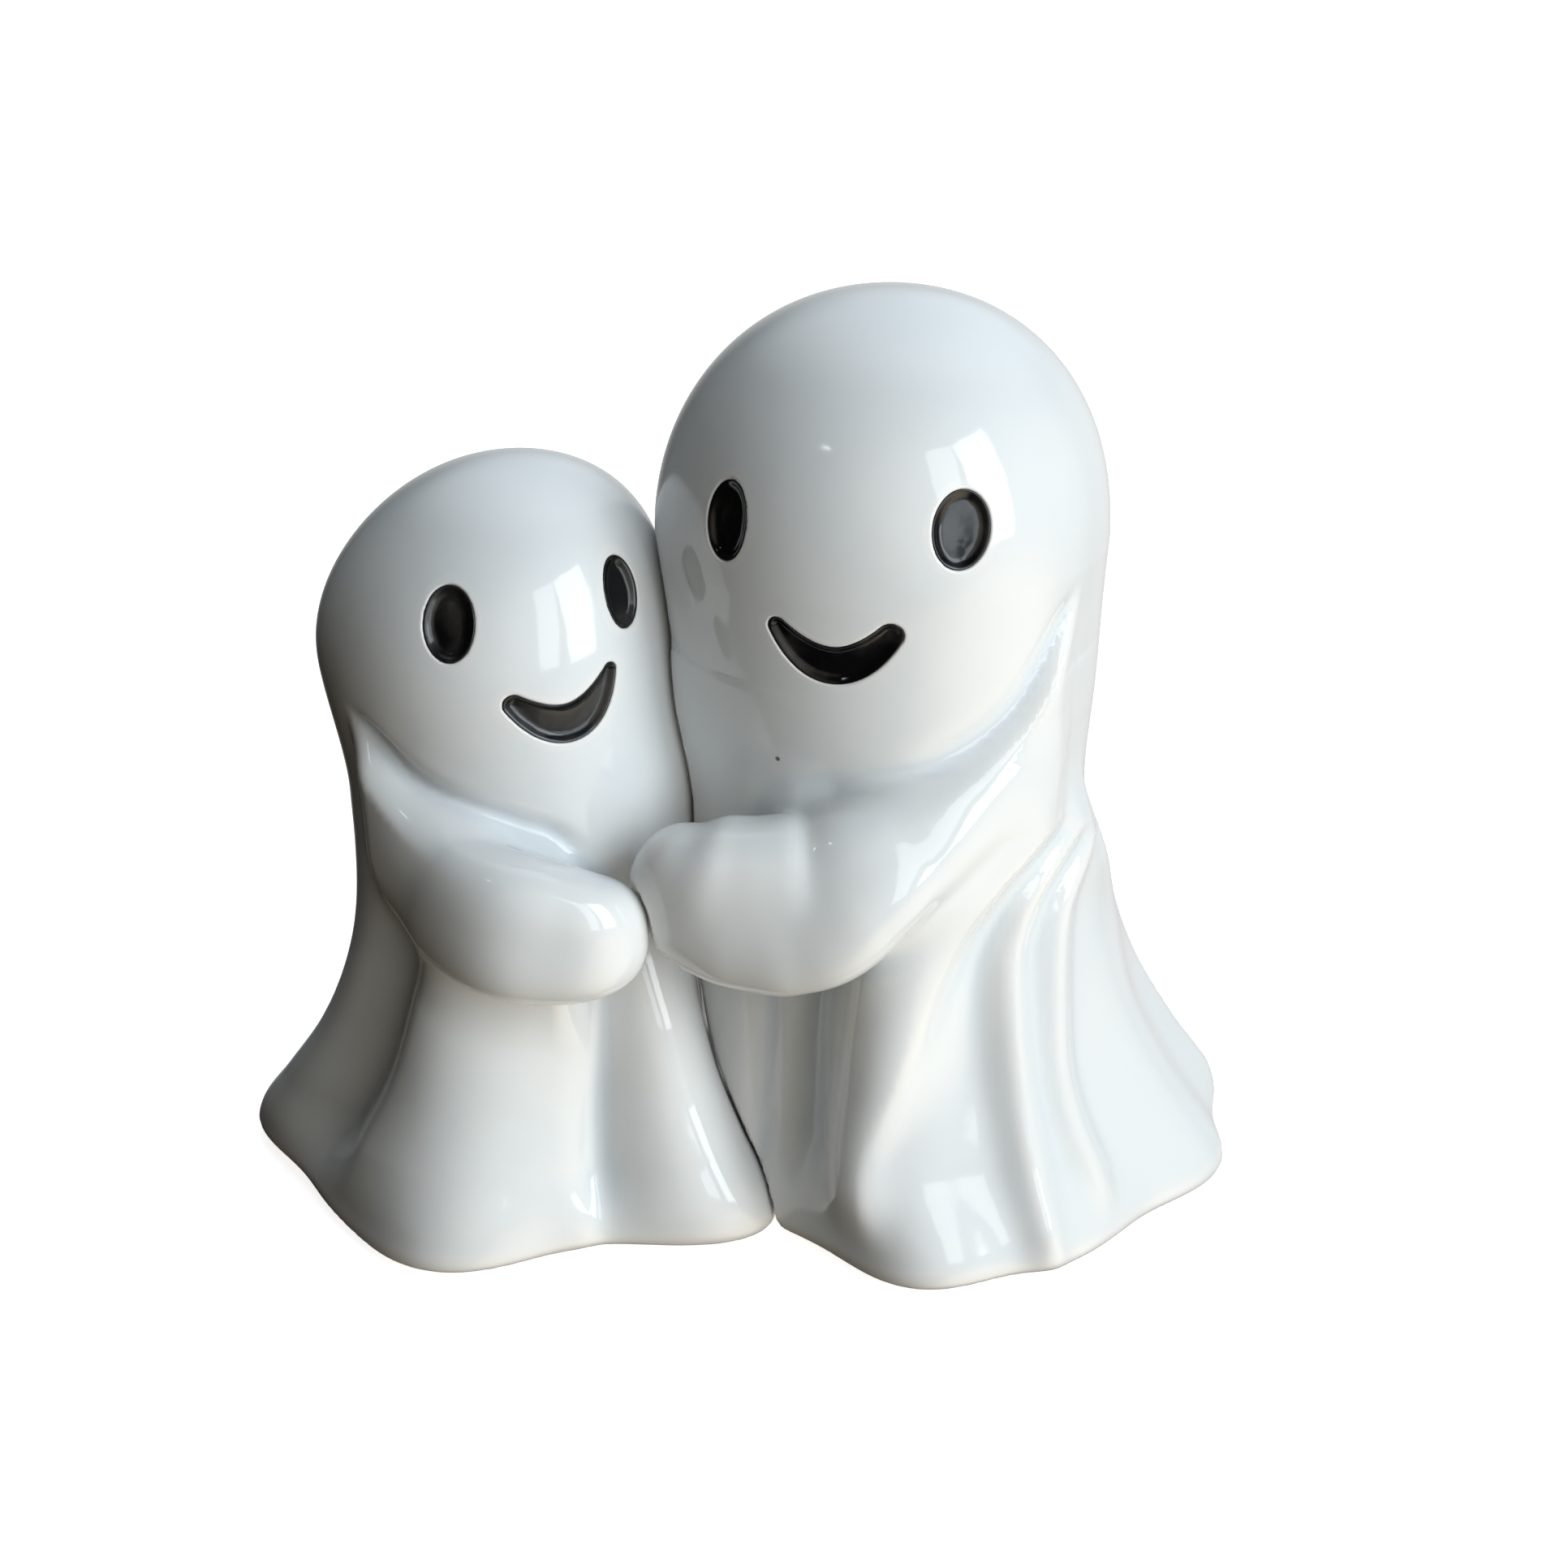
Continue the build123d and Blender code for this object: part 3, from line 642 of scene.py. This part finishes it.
def mixed(nodes, links, factor, first, second, blend="MIX"):
    """Output of a colour mix; each colour is a socket or a plain colour."""
    made = node(nodes, "ShaderNodeMix", data_type="RGBA", blend_type=blend)
    links.new(factor, made.inputs["Factor"])
    for colour, key in ((first, "A"), (second, "B")):
        if isinstance(colour, bpy.types.NodeSocket):
            links.new(colour, made.inputs[key])
        else:
            made.inputs[key].default_value = (*colour, 1)
    return made.outputs["Result"]


def calculated(nodes, links, operation, first, second):
    """Output of one sum; each side is a socket or a number."""
    made = node(nodes, "ShaderNodeMath", operation=operation)
    for i, value in enumerate((first, second)):
        if isinstance(value, bpy.types.NodeSocket):
            links.new(value, made.inputs[i])
        else:
            made.inputs[i].default_value = value
    return made.outputs["Value"]


def glaze_surface_group():
    """Marks of a fired glaze: soft clouds, orange peel and a few pinholes."""
    name = "GlazeSurface"
    if name in bpy.data.node_groups:
        return bpy.data.node_groups[name]
    group = bpy.data.node_groups.new(name, "ShaderNodeTree")
    for socket in ("Cloud", "Peel", "Pinholes"):
        group.interface.new_socket(socket, in_out="OUTPUT", socket_type="NodeSocketFloat")
    nodes, links = group.nodes, group.links
    out = node(nodes, "NodeGroupOutput")
    place = node(nodes, "ShaderNodeTexCoord").outputs["Object"]
    cloud = node(nodes, "ShaderNodeTexNoise", Scale=55.0, Detail=3.0, Roughness=0.5)
    peel = node(nodes, "ShaderNodeTexNoise", Scale=260.0, Detail=2.0, Roughness=0.4)
    cells = node(nodes, "ShaderNodeTexVoronoi", Scale=230.0)
    for texture in (cloud, peel, cells):
        links.new(place, texture.inputs["Vector"])
    chance = node(nodes, "ShaderNodeSeparateColor")
    links.new(cells.outputs["Color"], chance.inputs["Color"])
    picked = calculated(nodes, links, "GREATER_THAN", chance.outputs["Red"], 0.972)
    size = calculated(nodes, links, "MULTIPLY_ADD", chance.outputs["Green"], 0.05)
    size.node.inputs[2].default_value = 0.03
    near = calculated(nodes, links, "SUBTRACT", size, cells.outputs["Distance"])
    spot = ranged(nodes, links, near, 0.0, 0.02)
    links.new(cloud.outputs["Fac"], out.inputs["Cloud"])
    links.new(peel.outputs["Fac"], out.inputs["Peel"])
    links.new(calculated(nodes, links, "MULTIPLY", picked, spot), out.inputs["Pinholes"])
    return group


def glaze_marks(nodes):
    return node(nodes, "ShaderNodeGroup", node_tree=glaze_surface_group()).outputs


def bump(nodes, links, height, strength, distance):
    made = node(nodes, "ShaderNodeBump")
    made.inputs["Strength"].default_value = strength
    made.inputs["Distance"].default_value = distance
    links.new(height, made.inputs["Height"])
    return made.outputs["Normal"]


def white_glaze_material():
    finish = bpy.context.scene.ghost_finish
    material, nodes, links, shader = new_material("white_glaze")
    marks = glaze_marks(nodes)
    pool = node(nodes, "ShaderNodeAttribute", attribute_name="pool").outputs["Fac"]
    # Creases take the darker pooled colour: glaze pooling plus painted shade
    body = mixed(nodes, links, ranged(nodes, links, pool, 0.56, 0.95), finish.glaze, finish.pooled_glaze_and_painted_shade)
    # Crests and rims take the lighter thin colour: glaze running thin plus a painted highlight
    body = mixed(nodes, links, ranged(nodes, links, pool, 0.42, 0.10), body, finish.thin_glaze_and_painted_highlight)
    shade = ranged(nodes, links, marks["Cloud"], 0.25, 0.75, 0.0, 0.35)
    body = mixed(nodes, links, shade, body, finish.pooled_glaze_and_painted_shade)
    body = mixed(nodes, links, marks["Pinholes"], body, finish.pinhole)
    facing = node(nodes, "ShaderNodeSeparateXYZ")
    links.new(node(nodes, "ShaderNodeNewGeometry").outputs["Normal"], facing.inputs["Vector"])
    foot = ranged(nodes, links, facing.outputs["Z"], -0.80, -0.95)
    links.new(mixed(nodes, links, foot, body, finish.bisque), shader.inputs["Base Color"])
    gloss = ranged(nodes, links, marks["Cloud"], 0.2, 0.8, 0.05, 0.11)
    rough = calculated(nodes, links, "MAXIMUM", gloss, calculated(nodes, links, "MULTIPLY", foot, 0.75))
    links.new(rough, shader.inputs["Roughness"])
    height = calculated(nodes, links, "SUBTRACT", marks["Peel"], marks["Pinholes"])
    links.new(bump(nodes, links, height, 0.10, 0.0004), shader.inputs["Normal"])
    shader.inputs["IOR"].default_value = 1.52
    return material


def black_glaze_material():
    finish = bpy.context.scene.ghost_finish
    material, nodes, links, shader = new_material("black_glaze")
    marks = glaze_marks(nodes)
    worn = ranged(nodes, links, marks["Peel"], 0.45, 0.75)
    links.new(mixed(nodes, links, worn, finish.black_glaze, finish.thin_black), shader.inputs["Base Color"])
    links.new(ranged(nodes, links, marks["Peel"], 0.3, 0.7, 0.10, 0.26), shader.inputs["Roughness"])
    links.new(bump(nodes, links, marks["Peel"], 0.55, 0.0005), shader.inputs["Normal"])
    shader.inputs["IOR"].default_value = 1.5
    return material


def stopper_material():
    finish = bpy.context.scene.ghost_finish
    material, nodes, links, shader = new_material("stopper")
    grain = node(nodes, "ShaderNodeTexNoise", Scale=420.0, Detail=3.0)
    links.new(node(nodes, "ShaderNodeTexCoord").outputs["Object"], grain.inputs["Vector"])
    links.new(mixed(nodes, links, ranged(nodes, links, grain.outputs["Fac"], 0.3, 0.8), finish.stopper,
                    finish.stopper_shade), shader.inputs["Base Color"])
    links.new(ranged(nodes, links, grain.outputs["Fac"], 0.2, 0.8, 0.38, 0.52), shader.inputs["Roughness"])
    links.new(bump(nodes, links, grain.outputs["Fac"], 0.08, 0.0002), shader.inputs["Normal"])
    shader.inputs["Subsurface Weight"].default_value = 0.15
    shader.inputs["Subsurface Radius"].default_value = (0.002, 0.002, 0.0015)
    return material


# Pieces
def shell_field(name, settings):
    forms = {key: Form(ghost) for key, ghost in GHOSTS.items()}
    form = forms[name]
    gap = settings.nest_gap / MM
    depth = settings.carving_depth / MM
    wall = settings.wall / MM
    carvings = [(feature, face_frame(form, feature)) for feature in form.ghost.face.values()]
    floor_top = RECESS_DEPTH + SEAT_THICKNESS
    base_x, base_y = form.ghost.axis[0][1:]

    def field(p):
        body = form.body(p)
        skin = form.skin(p, body)
        z = p[..., 2]
        cavity = soft_max(body + wall, floor_top - z, CAVITY_ROUND)
        if name == "tall":
            close = skin < 2
            if close.any():
                other = forms["small"]
                q = p[close]
                room = gap - other.skin(q, other.body(q))
                skin = skin.copy()
                skin[close] = soft_max(skin[close], room, NEST_ROUND)
                cavity[close] = soft_max(cavity[close], room + wall, CAVITY_ROUND)
        skin = soft_max(skin, -z, HEM_ROUND)
        for feature, (here, across, upward, normal) in carvings:
            near = np.sum((p - here) ** 2, axis=-1) < FACE_REACH ** 2
            if near.any():
                d = p[near] - here
                outline = outline_distance(feature, d @ across, d @ upward)
                carving = soft_max(outline, -(body[near] + depth), CARVING_FLOOR_ROUND)
                skin[near] = soft_max(skin[near], -carving, CARVING_RIM_ROUND)
        reach = np.hypot(p[..., 0] - base_x, p[..., 1] - base_y)
        hole = np.maximum(reach - HOLE_RADIUS, z - floor_top - 1)
        recess = np.maximum(reach - RECESS_RADIUS, z - RECESS_DEPTH)
        inner = np.minimum(np.minimum(cavity, hole), recess)
        return soft_max(skin, -inner, INNER_ROUND)

    return form, field


def refined(points, quads, picked):
    """Points and faces after each face with a picked corner is cut in four."""
    made = bmesh.new()
    corners = [made.verts.new(p) for p in points]
    for quad in quads:
        made.faces.new([corners[i] for i in quad])
    made.verts.index_update()
    edges = {edge for face in made.faces if any(picked[v.index] for v in face.verts) for edge in face.edges}
    bmesh.ops.subdivide_edges(made, edges=list(edges), cuts=1, use_grid_fill=True)
    made.verts.index_update()
    points = np.array([v.co for v in made.verts])
    faces = [[v.index for v in face.verts] for face in made.faces]
    made.free()
    return points, faces


def carving_distance(form, points):
    """Distance of points from the nearest carved outline."""
    nearest = np.full(len(points), FAR_AWAY)
    for feature in form.ghost.face.values():
        here, across, upward, normal = face_frame(form, feature)
        d = points - here
        close = (d ** 2).sum(1) < FACE_REACH ** 2
        outline = outline_distance(feature, d[close] @ across, d[close] @ upward)
        nearest[close] = np.minimum(nearest[close], np.abs(outline))
    return nearest


def build_shell(name, material):
    settings = bpy.context.scene.ghost_form
    form, field = shell_field(name, settings)
    cell = settings.cell / MM
    low, high = (np.array(c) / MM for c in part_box(f"{name}_ghost"))
    shift = ground_shift()
    points, faces = net_skin(field, low - shift - SKIN_MARGIN, high - shift + SKIN_MARGIN, cell)
    points = settle(field, points, cell)
    for reach in FINE_REACHES:
        points, faces = refined(points, faces, carving_distance(form, points) < reach * cell)
        points = settle(field, points, cell / 2)
    normals = slopes(field, points)
    normals /= np.maximum(np.linalg.norm(normals, axis=1, keepdims=True), 1e-9)
    piece = mesh_object(f"{name}_shell", points, faces, material, name, f"{name}_ghost",
                        normals)
    # Bend of the surface at each point: high in creases, where the glaze pools and painted shade darkens it,
    # low on crests, where the glaze runs thin and is painted lighter as a highlight
    bend = -6 * field(points)
    for offset in np.concatenate([np.eye(3), -np.eye(3)]) * POOL_SHADE_STEP:
        bend += field(points + offset)
    pool = piece.data.attributes.new("pool", "FLOAT", "POINT")
    depth = np.clip(0.5 - bend / POOL_SHADE_STEP ** 2 / POOL_SHADE_BEND, 0, 1)
    pool.data.foreach_set("value", depth.astype(np.float32))
    return piece


def outline_rays(feature):
    """Points on the spine of a carved feature and the directions from them to its edge."""
    if isinstance(feature, Oval):
        turn = np.linspace(0, 2 * pi, OVAL_RAYS, endpoint=False)
        spine = OVAL_SPINE_SHARE * (feature.height - feature.width) / 2
        return np.stack([0 * turn, spine * np.sin(turn)], -1), np.stack([np.cos(turn), np.sin(turn)], -1)
    spine, _ = smile_spine(feature, SMILE_RAYS)
    lean = np.arctan(4 * feature.lift * np.linspace(-1, 1, SMILE_RAYS) / feature.span)
    down = lean - pi / 2
    fan = np.linspace(0, pi, SMILE_END_RAYS)[1:-1]
    left_end = np.repeat(spine[:1], len(fan), 0)
    right_end = np.repeat(spine[-1:], len(fan), 0)
    starts = np.concatenate([spine, right_end, spine[::-1], left_end])
    angles = np.concatenate([down, down[-1] + fan, down[::-1] + pi, down[0] + pi + fan])
    return starts, np.stack([np.cos(angles), np.sin(angles)], -1)


def build_fill(name, key, material):
    """Black glaze that lines one carved feature: up its walls and over its floor."""
    settings = bpy.context.scene.ghost_form
    form = Form(GHOSTS[name])
    feature = form.ghost.face[key]
    here, across, upward, normal = face_frame(form, feature)
    starts, ways = outline_rays(feature)
    near, far = np.zeros(len(starts)), np.full(len(starts), FACE_REACH / 2)
    for _ in range(40):
        middle = (near + far) / 2
        spot = starts + ways * middle[:, None]
        outside = outline_distance(feature, spot[:, 0], spot[:, 1]) > GLAZE_OVERLAP
        far = np.where(outside, middle, far)
        near = np.where(outside, near, middle)
    shares = np.array(GLAZE_RINGS)
    flat = starts[None] + ways[None] * (near * shares[:, None])[..., None]
    inside = np.maximum(-outline_distance(feature, flat[..., 0], flat[..., 1]), 0)
    depth = GLAZE_RIM + (GLAZE_FLOOR - GLAZE_RIM) * smooth_step(0, GLAZE_SLOPE, inside)
    points = here + flat[..., :1] * across + flat[..., 1:] * upward
    shape = points.shape
    points = points.reshape(-1, 3)
    for _ in range(6):
        slope = slopes(form.body, points) @ normal
        points = points - normal * (form.body(points) / slope)[:, None]
    inward = slopes(form.body, points)
    inward /= -np.linalg.norm(inward, axis=1, keepdims=True)
    top = points + inward * depth.reshape(-1, 1)
    back = settings.carving_depth / MM - GLAZE_BACK_GAP
    bottom = points + inward * back
    rows, count = shape[:2]
    faces = []
    for r in range(rows - 1):
        for i in range(count):
            j = (i + 1) % count
            faces.append([r * count + i, r * count + j, (r + 1) * count + j, (r + 1) * count + i])
    under = rows * count
    faces += [[under + i for i in reversed(face)] for face in faces]
    faces += [[j + under, j, i, i + under] for i in range(count) for j in [(i + 1) % count]]
    made = bmesh.new()
    corners = [made.verts.new(p) for p in np.concatenate([top, bottom])]
    for face in faces:
        made.faces.new([corners[i] for i in face])
    bmesh.ops.remove_doubles(made, verts=made.verts, dist=0.004)
    bmesh.ops.dissolve_degenerate(made, edges=made.edges, dist=0.002)
    bmesh.ops.recalc_face_normals(made, faces=made.faces)
    made.verts.index_update()
    points = np.array([v.co for v in made.verts])
    faces = [[v.index for v in face.verts] for face in made.faces]
    made.free()
    piece_name = f"{name}_{key}"
    return mesh_object(f"{piece_name}_glaze", points, faces, material, name, piece_name)


def lathe(profile, centre, count):
    """Points and faces of a closed profile of (radius, height) turned about an upright axis."""
    angles = np.linspace(0, 2 * pi, count, endpoint=False)
    points = [(centre[0] + r * cos(a), centre[1] + r * sin(a), z) for r, z in profile for a in angles]
    rows = len(profile)
    faces = []
    for r in range(rows - 1):
        for i in range(count):
            j = (i + 1) % count
            faces.append([r * count + i, r * count + j, (r + 1) * count + j, (r + 1) * count + i])
    faces.append([i for i in reversed(range(count))])
    faces.append([(rows - 1) * count + i for i in range(count)])
    return np.array(points), faces


def rounded_corner(radius, height, size, start, turn=90, steps=5):
    """Points of a rounded corner about a centre, from a start angle in degrees."""
    angles = [radians(start + turn * i / steps) for i in range(steps + 1)]
    return [(radius + size * cos(a), height + size * sin(a)) for a in angles]


def build_stopper(name, material):
    """Soft cup with a rounded flange, a grip ring inside and two sealing beads on the plug."""
    seat = RECESS_DEPTH - SEAT_GAP
    low = seat - FLANGE_THICKNESS
    top = seat + PLUG_LENGTH
    hollow = PLUG_RADIUS - PLUG_WALL
    ceiling = top - PLUG_WALL
    edge = 0.45
    profile = [(0.02, ceiling)]
    profile += [(1.2, ceiling), (hollow - 0.8, ceiling)]
    profile += rounded_corner(hollow - 0.8, ceiling - 0.8, 0.8, 90, -90)
    grip = hollow - 0.35
    profile += [(hollow, low + 2.2), (grip, low + 1.7), (grip, low + 1.3), (hollow, low + 0.8)]
    profile += rounded_corner(hollow + edge, low + edge, edge, 180, 90)
    profile += rounded_corner(FLANGE_RADIUS - edge, low + edge, edge, -90, 90)
    profile += rounded_corner(FLANGE_RADIUS - edge, seat - edge, edge, 0, 90)
    neck = PLUG_RADIUS - 0.22
    profile += [(neck + 0.25, seat), (neck, seat + 0.25)]
    for bead in (seat + 1.7, seat + 3.6):
        profile += [(neck, bead - 0.6), (PLUG_RADIUS - 0.06, bead - 0.25), (PLUG_RADIUS, bead),
                    (PLUG_RADIUS - 0.06, bead + 0.25), (neck, bead + 0.6)]
    profile += [(neck, top - 1.3)] + rounded_corner(neck - 0.9, top - 0.9, 0.9, 0, 90)
    profile += [(1.2, top), (0.02, top)]
    points, faces = lathe(profile, GHOSTS[name].axis[0][1:], 96)
    return mesh_object(f"{name}_cup", points, faces, material, f"{name}_plug", f"{name}_stopper")


# Stage
def direction(azimuth, elevation):
    """Direction from the object: azimuth in degrees from the front toward the right, elevation in degrees."""
    a, e = radians(azimuth), radians(elevation)
    return Vector((sin(a) * cos(e), -cos(a) * cos(e), sin(e)))


def add_camera(scene, settings, aim):
    back = direction(0, settings.elevation * 180 / pi)
    camera = bpy.data.objects.new("camera", bpy.data.cameras.new("camera"))
    camera.location = aim + back * settings.distance
    camera.rotation_euler = back.to_track_quat("Z", "Y").to_euler()
    camera.data.lens = settings.lens
    camera.data.sensor_width = 36
    camera.data.clip_start = 0.01
    scene.collection.objects.link(camera)
    scene.camera = camera


def add_floor(scene, settings):
    mesh = bpy.data.meshes.new("floor")
    half = settings.floor_size / 2
    corners = [(-half, -half, 0), (half, -half, 0), (half, half, 0), (-half, half, 0)]
    mesh.from_pydata(corners, [], [(0, 1, 2, 3)])
    floor = bpy.data.objects.new("floor", mesh)
    scene.collection.objects.link(floor)
    material, nodes, links, shader = new_material("pale_floor")
    shader.inputs["Base Color"].default_value = (*settings.floor_colour, 1)
    shader.inputs["Roughness"].default_value = 0.8
    shader.inputs["Emission Color"].default_value = (*settings.floor_colour, 1)
    shader.inputs["Emission Strength"].default_value = settings.floor_glow
    mesh.materials.append(material)
    floor.visible_diffuse = False
    floor.visible_glossy = False
    floor.visible_shadow = False


# Soft light of the room: azimuth, elevation and spread of each glow in degrees, and its radiance
Glow = namedtuple("Glow", "name azimuth elevation spread colour")
GLOWS = [
    Glow("window_wall", 45, 20, 55, (0.50, 0.62, 0.72)),
    Glow("front_wall", 10, 20, 40, (0.60, 0.50, 0.36)),
    Glow("lit_table", 60, -40, 42, (1.80, 1.55, 1.20)),
    Glow("backdrop", 165, -8, 42, (0.68, 0.67, 0.66)),
    Glow("ceiling", 170, 52, 50, (1.25, 1.40, 1.50)),
]


def add_world(scene, settings):
    """Room seen by the glaze: soft glows over dim walls. The camera itself sees the pale backdrop."""
    world = bpy.data.worlds.new("room")
    world.use_nodes = True
    nodes, links = world.node_tree.nodes, world.node_tree.links
    room = nodes["Background"]
    outward = node(nodes, "ShaderNodeTexCoord").outputs["Generated"]
    light = settings.dim_wall
    for glow in GLOWS:
        toward = node(nodes, "ShaderNodeVectorMath", operation="DOT_PRODUCT")
        toward.inputs[1].default_value = direction(glow.azimuth, glow.elevation)
        links.new(outward, toward.inputs[0])
        share = ranged(nodes, links, toward.outputs["Value"], cos(radians(glow.spread)), 1.0)
        light = mixed(nodes, links, share, light, glow.colour, "ADD")
    links.new(light, room.inputs["Color"])
    seen = node(nodes, "ShaderNodeBackground")
    seen.inputs["Color"].default_value = (*settings.floor_colour, 1)
    path = node(nodes, "ShaderNodeLightPath")
    choice = node(nodes, "ShaderNodeMixShader")
    links.new(path.outputs["Is Camera Ray"], choice.inputs["Fac"])
    links.new(room.outputs["Background"], choice.inputs[1])
    links.new(seen.outputs["Background"], choice.inputs[2])
    links.new(choice.outputs["Shader"], nodes["World Output"].inputs["Surface"])
    scene.world = world


# Window panes and one small lamp: azimuth, elevation, angular width and height, radiance
Pane = namedtuple("Pane", "name azimuth elevation width height radiance")
PANES = [
    Pane("window_left", 34, 22, 14, 46, 2.6),
    Pane("window_right", 57, 22, 20, 46, 5.0),
    Pane("ceiling_lamp", -44, 46, 3.2, 1.3, 14.0),
]


def add_lights(scene, settings, aim):
    for pane in PANES:
        light = bpy.data.lights.new(pane.name, "AREA")
        light.shape = "RECTANGLE"
        light.size = 2 * settings.window_distance * tan(radians(pane.width) / 2)
        light.size_y = 2 * settings.window_distance * tan(radians(pane.height) / 2)
        light.energy = pane.radiance * pi * light.size * light.size_y * settings.light
        light.color = settings.window_colour
        lamp = bpy.data.objects.new(pane.name, light)
        out = direction(pane.azimuth, pane.elevation)
        lamp.location = aim + out * settings.window_distance
        lamp.rotation_euler = out.to_track_quat("Z", "Y").to_euler()
        scene.collection.objects.link(lamp)


# Steps of the build
class GHOSTS_OT_shells(bpy.types.Operator):
    """Sculpt the two glazed ceramic shells"""
    bl_idname = "ghosts.shells"
    bl_label = "Ceramic shells"

    def execute(self, context):
        material = white_glaze_material()
        for name in GHOSTS:
            build_shell(name, material)
        return {"FINISHED"}


class GHOSTS_OT_faces(bpy.types.Operator):
    """Line the carved eyes and mouths with black glaze"""
    bl_idname = "ghosts.faces"
    bl_label = "Black faces"

    def execute(self, context):
        material = black_glaze_material()
        for name, ghost in GHOSTS.items():
            for key in ghost.face:
                build_fill(name, key, material)
        return {"FINISHED"}


class GHOSTS_OT_stoppers(bpy.types.Operator):
    """Turn the soft stoppers of the bases"""
    bl_idname = "ghosts.stoppers"
    bl_label = "Base stoppers"

    def execute(self, context):
        material = stopper_material()
        for name in GHOSTS:
            build_stopper(name, material)
        return {"FINISHED"}


class GHOSTS_OT_stage(bpy.types.Operator):
    """Set the floor, the light and the camera"""
    bl_idname = "ghosts.stage"
    bl_label = "Stage"

    def execute(self, context):
        scene = context.scene
        settings = scene.ghost_stage
        scene.view_settings.view_transform = "Standard"
        aim = Vector(ground_shift() * MM) + Vector((0, 0, settings.aim_height))
        add_camera(scene, settings, aim)
        add_floor(scene, settings)
        add_world(scene, settings)
        add_lights(scene, settings, aim)
        return {"FINISHED"}


class GHOSTS_PT_panel(bpy.types.Panel):
    """Steps and settings of the ghost pair"""
    bl_idname = "GHOSTS_PT_panel"
    bl_label = "Ghosts"
    bl_space_type = "VIEW_3D"
    bl_region_type = "UI"
    bl_category = "Ghosts"

    def draw(self, context):
        for operator in OPERATORS:
            self.layout.operator(operator.bl_idname)


OPERATORS = (GHOSTS_OT_shells, GHOSTS_OT_faces, GHOSTS_OT_stoppers, GHOSTS_OT_stage)
GROUPS = {
    "ghost_form": GhostFormSettings,
    "ghost_finish": GhostFinishSettings,
    "ghost_stage": GhostStageSettings,
}


def register():
    for group in GROUPS.values():
        bpy.utils.register_class(group)
    for name, group in GROUPS.items():
        setattr(bpy.types.Scene, name, PointerProperty(type=group))
    for operator in OPERATORS:
        bpy.utils.register_class(operator)
    bpy.utils.register_class(GHOSTS_PT_panel)


def unregister():
    bpy.utils.unregister_class(GHOSTS_PT_panel)
    for operator in reversed(OPERATORS):
        bpy.utils.unregister_class(operator)
    for name, group in GROUPS.items():
        delattr(bpy.types.Scene, name)
        bpy.utils.unregister_class(group)


def main():
    register()
    bpy.ops.ghosts.shells()
    bpy.ops.ghosts.faces()
    bpy.ops.ghosts.stoppers()
    bpy.ops.ghosts.stage()


if __name__ == "__main__":
    main()
